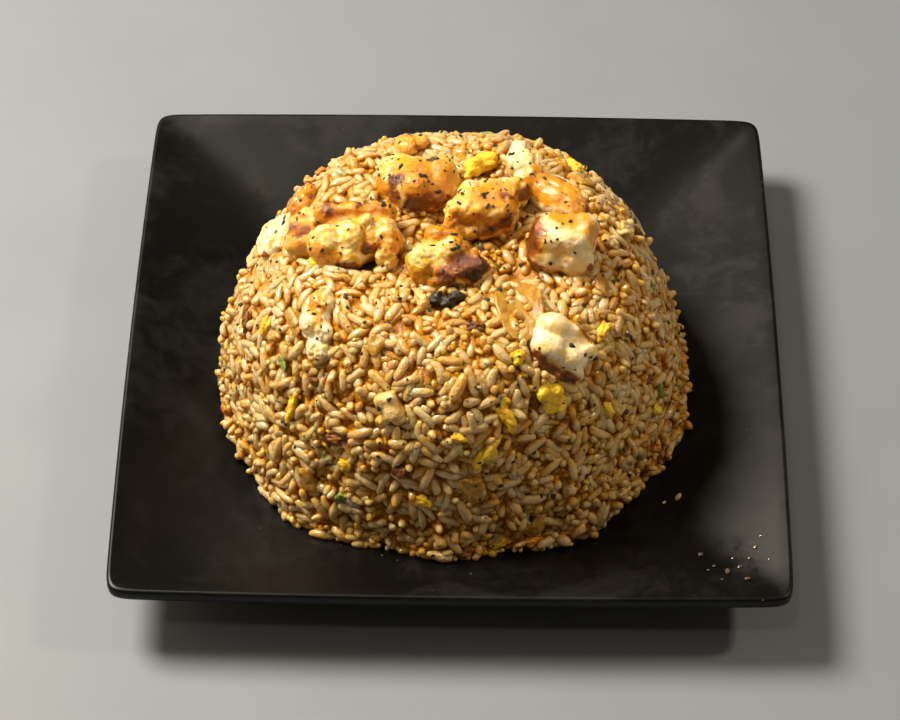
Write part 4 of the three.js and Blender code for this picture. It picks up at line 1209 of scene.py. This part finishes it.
# crumbs of rice and a few drops on the plate: x, y, half length, half width, turn
crumbs = {
    "rice": [(74, -57.9, 1.4, 0.9, 60), (69.4, -59.3, 0.7, 0.5, 20), (-30, 84, 2.8, 1.4, 20),
             (40, 86, 1.6, 1.0, 160)],
    "drops": [(80, -84, 0.9, 0.8, 0), (84, -90, 0.6, 0.5, 0), (88, -93, 1.5, 0.8, 80), (92, -91, 0.9, 0.6, 20),
              (97, -84, 1.0, 0.7, 30), (99, -80, 0.6, 0.5, 0), (94, -97, 1.0, 0.7, 10), (90, -87, 0.5, 0.5, 0),
              (101, -90, 0.5, 0.4, 0), (86, -97, 0.5, 0.4, 0), (82, -92, 0.45, 0.4, 0), (95, -88, 0.4, 0.4, 0)],
}


def makeCrumbs(kind, rows, flat):
    parts = []
    for i, (x, y, long, wide, turn) in enumerate(rows):
        thing = ball(3)
        p = readPoints(thing)
        p *= (1 + softNoise(p, 1.1, i + 40) * 0.16)[:, None]
        p *= (long, wide, wide * flat)
        a = math.radians(turn)
        x0 = x + p[:, 0] * math.cos(a) - p[:, 1] * math.sin(a)
        y0 = y + p[:, 0] * math.sin(a) + p[:, 1] * math.cos(a)
        z0 = dishAt(x0, y0) + wide * flat * 0.75 + p[:, 2]
        writePoints(thing, np.column_stack([x0, y0, z0]) * mm)
        parts.append(thing)
    thing = joined(parts, "plate_" + kind)
    if kind == "rice":
        paint(thing, "grainToneAndShade", np.tile((0.1, 0.2, 0.0), (len(thing.data.vertices), 1)))
    return thing


def dropFinish():
    f = Finish("drops of oil and stock")
    fine = f.noise(1.2, 2)
    return f.surface(Base_Color=f.blend(fine, (0.03, 0.02, 0.01), (0.14, 0.10, 0.06)),
                     Roughness=f.band(fine, 0.3, 0.7, 0.04, 0.12), Normal=f.bump(fine, 0.05, 0.4),
                     Specular_IOR_Level=0.7)


finished(makeCrumbs("rice", crumbs["rice"], 0.85), rice, "rice")
finished(makeCrumbs("drops", crumbs["drops"], 0.45), dropFinish(), "chicken")


# floor, light and camera

bpy.ops.mesh.primitive_plane_add(size=4)
floor = bpy.context.object
floor.name = "floor"
f = Finish("pale floor")
grey = f.blend(f.noise(60, 3), (0.17, 0.19, 0.225), (0.20, 0.22, 0.255))
floor.data.materials.append(f.surface(Base_Color=grey, Roughness=0.6))

lamps = {
    "key": {"around": 152, "up": 53, "far": 1.1, "size": 0.44, "watts": 27.0, "colour": (1.0, 0.90, 0.75)},
    "fill": {"around": 4, "up": 46, "far": 1.2, "size": 0.13, "watts": 4.6, "colour": (1.0, 0.84, 0.62)},
    "side": {"around": 178, "up": 34, "far": 1.1, "size": 0.8, "watts": 2.4, "colour": (1.0, 0.85, 0.58)},
    "front": {"around": -102, "up": 66, "far": 1.2, "size": 0.1, "watts": 0.9, "colour": (1.0, 0.88, 0.70)},
}
sky = {"strength": 0.1, "colour": (1.0, 0.84, 0.58, 1)}
view = {
    "lens": 121.215, "sensor": 36, "at": (6.259, -682.496, 782.0),  # in millimetres
    "ahead": (-0.007318, 0.664537, -0.747219), "top": (-0.011917, 0.747128, 0.664573),
}


def areaLight(name, facts):
    aim = Vector((0, -0.01, 0.05))
    a, e = math.radians(facts["around"]), math.radians(facts["up"])
    way = Vector((math.cos(a) * math.cos(e), math.sin(a) * math.cos(e), math.sin(e)))
    bpy.ops.object.light_add(type="AREA", location=aim + way * facts["far"])
    lamp = bpy.context.object
    lamp.name = name
    lamp.data.shape = "DISK"
    lamp.data.size = facts["size"]
    lamp.data.energy = facts["watts"]
    lamp.data.color = facts["colour"]
    lamp.rotation_euler = (-way).to_track_quat("-Z", "Y").to_euler()


for name, facts in lamps.items():
    areaLight(name, facts)
world = bpy.data.worlds.new("studio")
world.use_nodes = True
background = world.node_tree.nodes["Background"]
background.inputs["Color"].default_value = sky["colour"]
background.inputs["Strength"].default_value = sky["strength"]
scene.world = world

camera = bpy.data.objects.new("camera", bpy.data.cameras.new("camera"))
scene.collection.objects.link(camera)
camera.data.lens = view["lens"]
camera.data.sensor_width = view["sensor"]
ahead, top = Vector(view["ahead"]), Vector(view["top"])
across = ahead.cross(top)
rows = [(across[i], top[i], -ahead[i], view["at"][i] * mm) for i in range(3)]
camera.matrix_world = Matrix((*rows, (0, 0, 0, 1)))
scene.camera = camera
scene.view_settings.view_transform = "Standard"
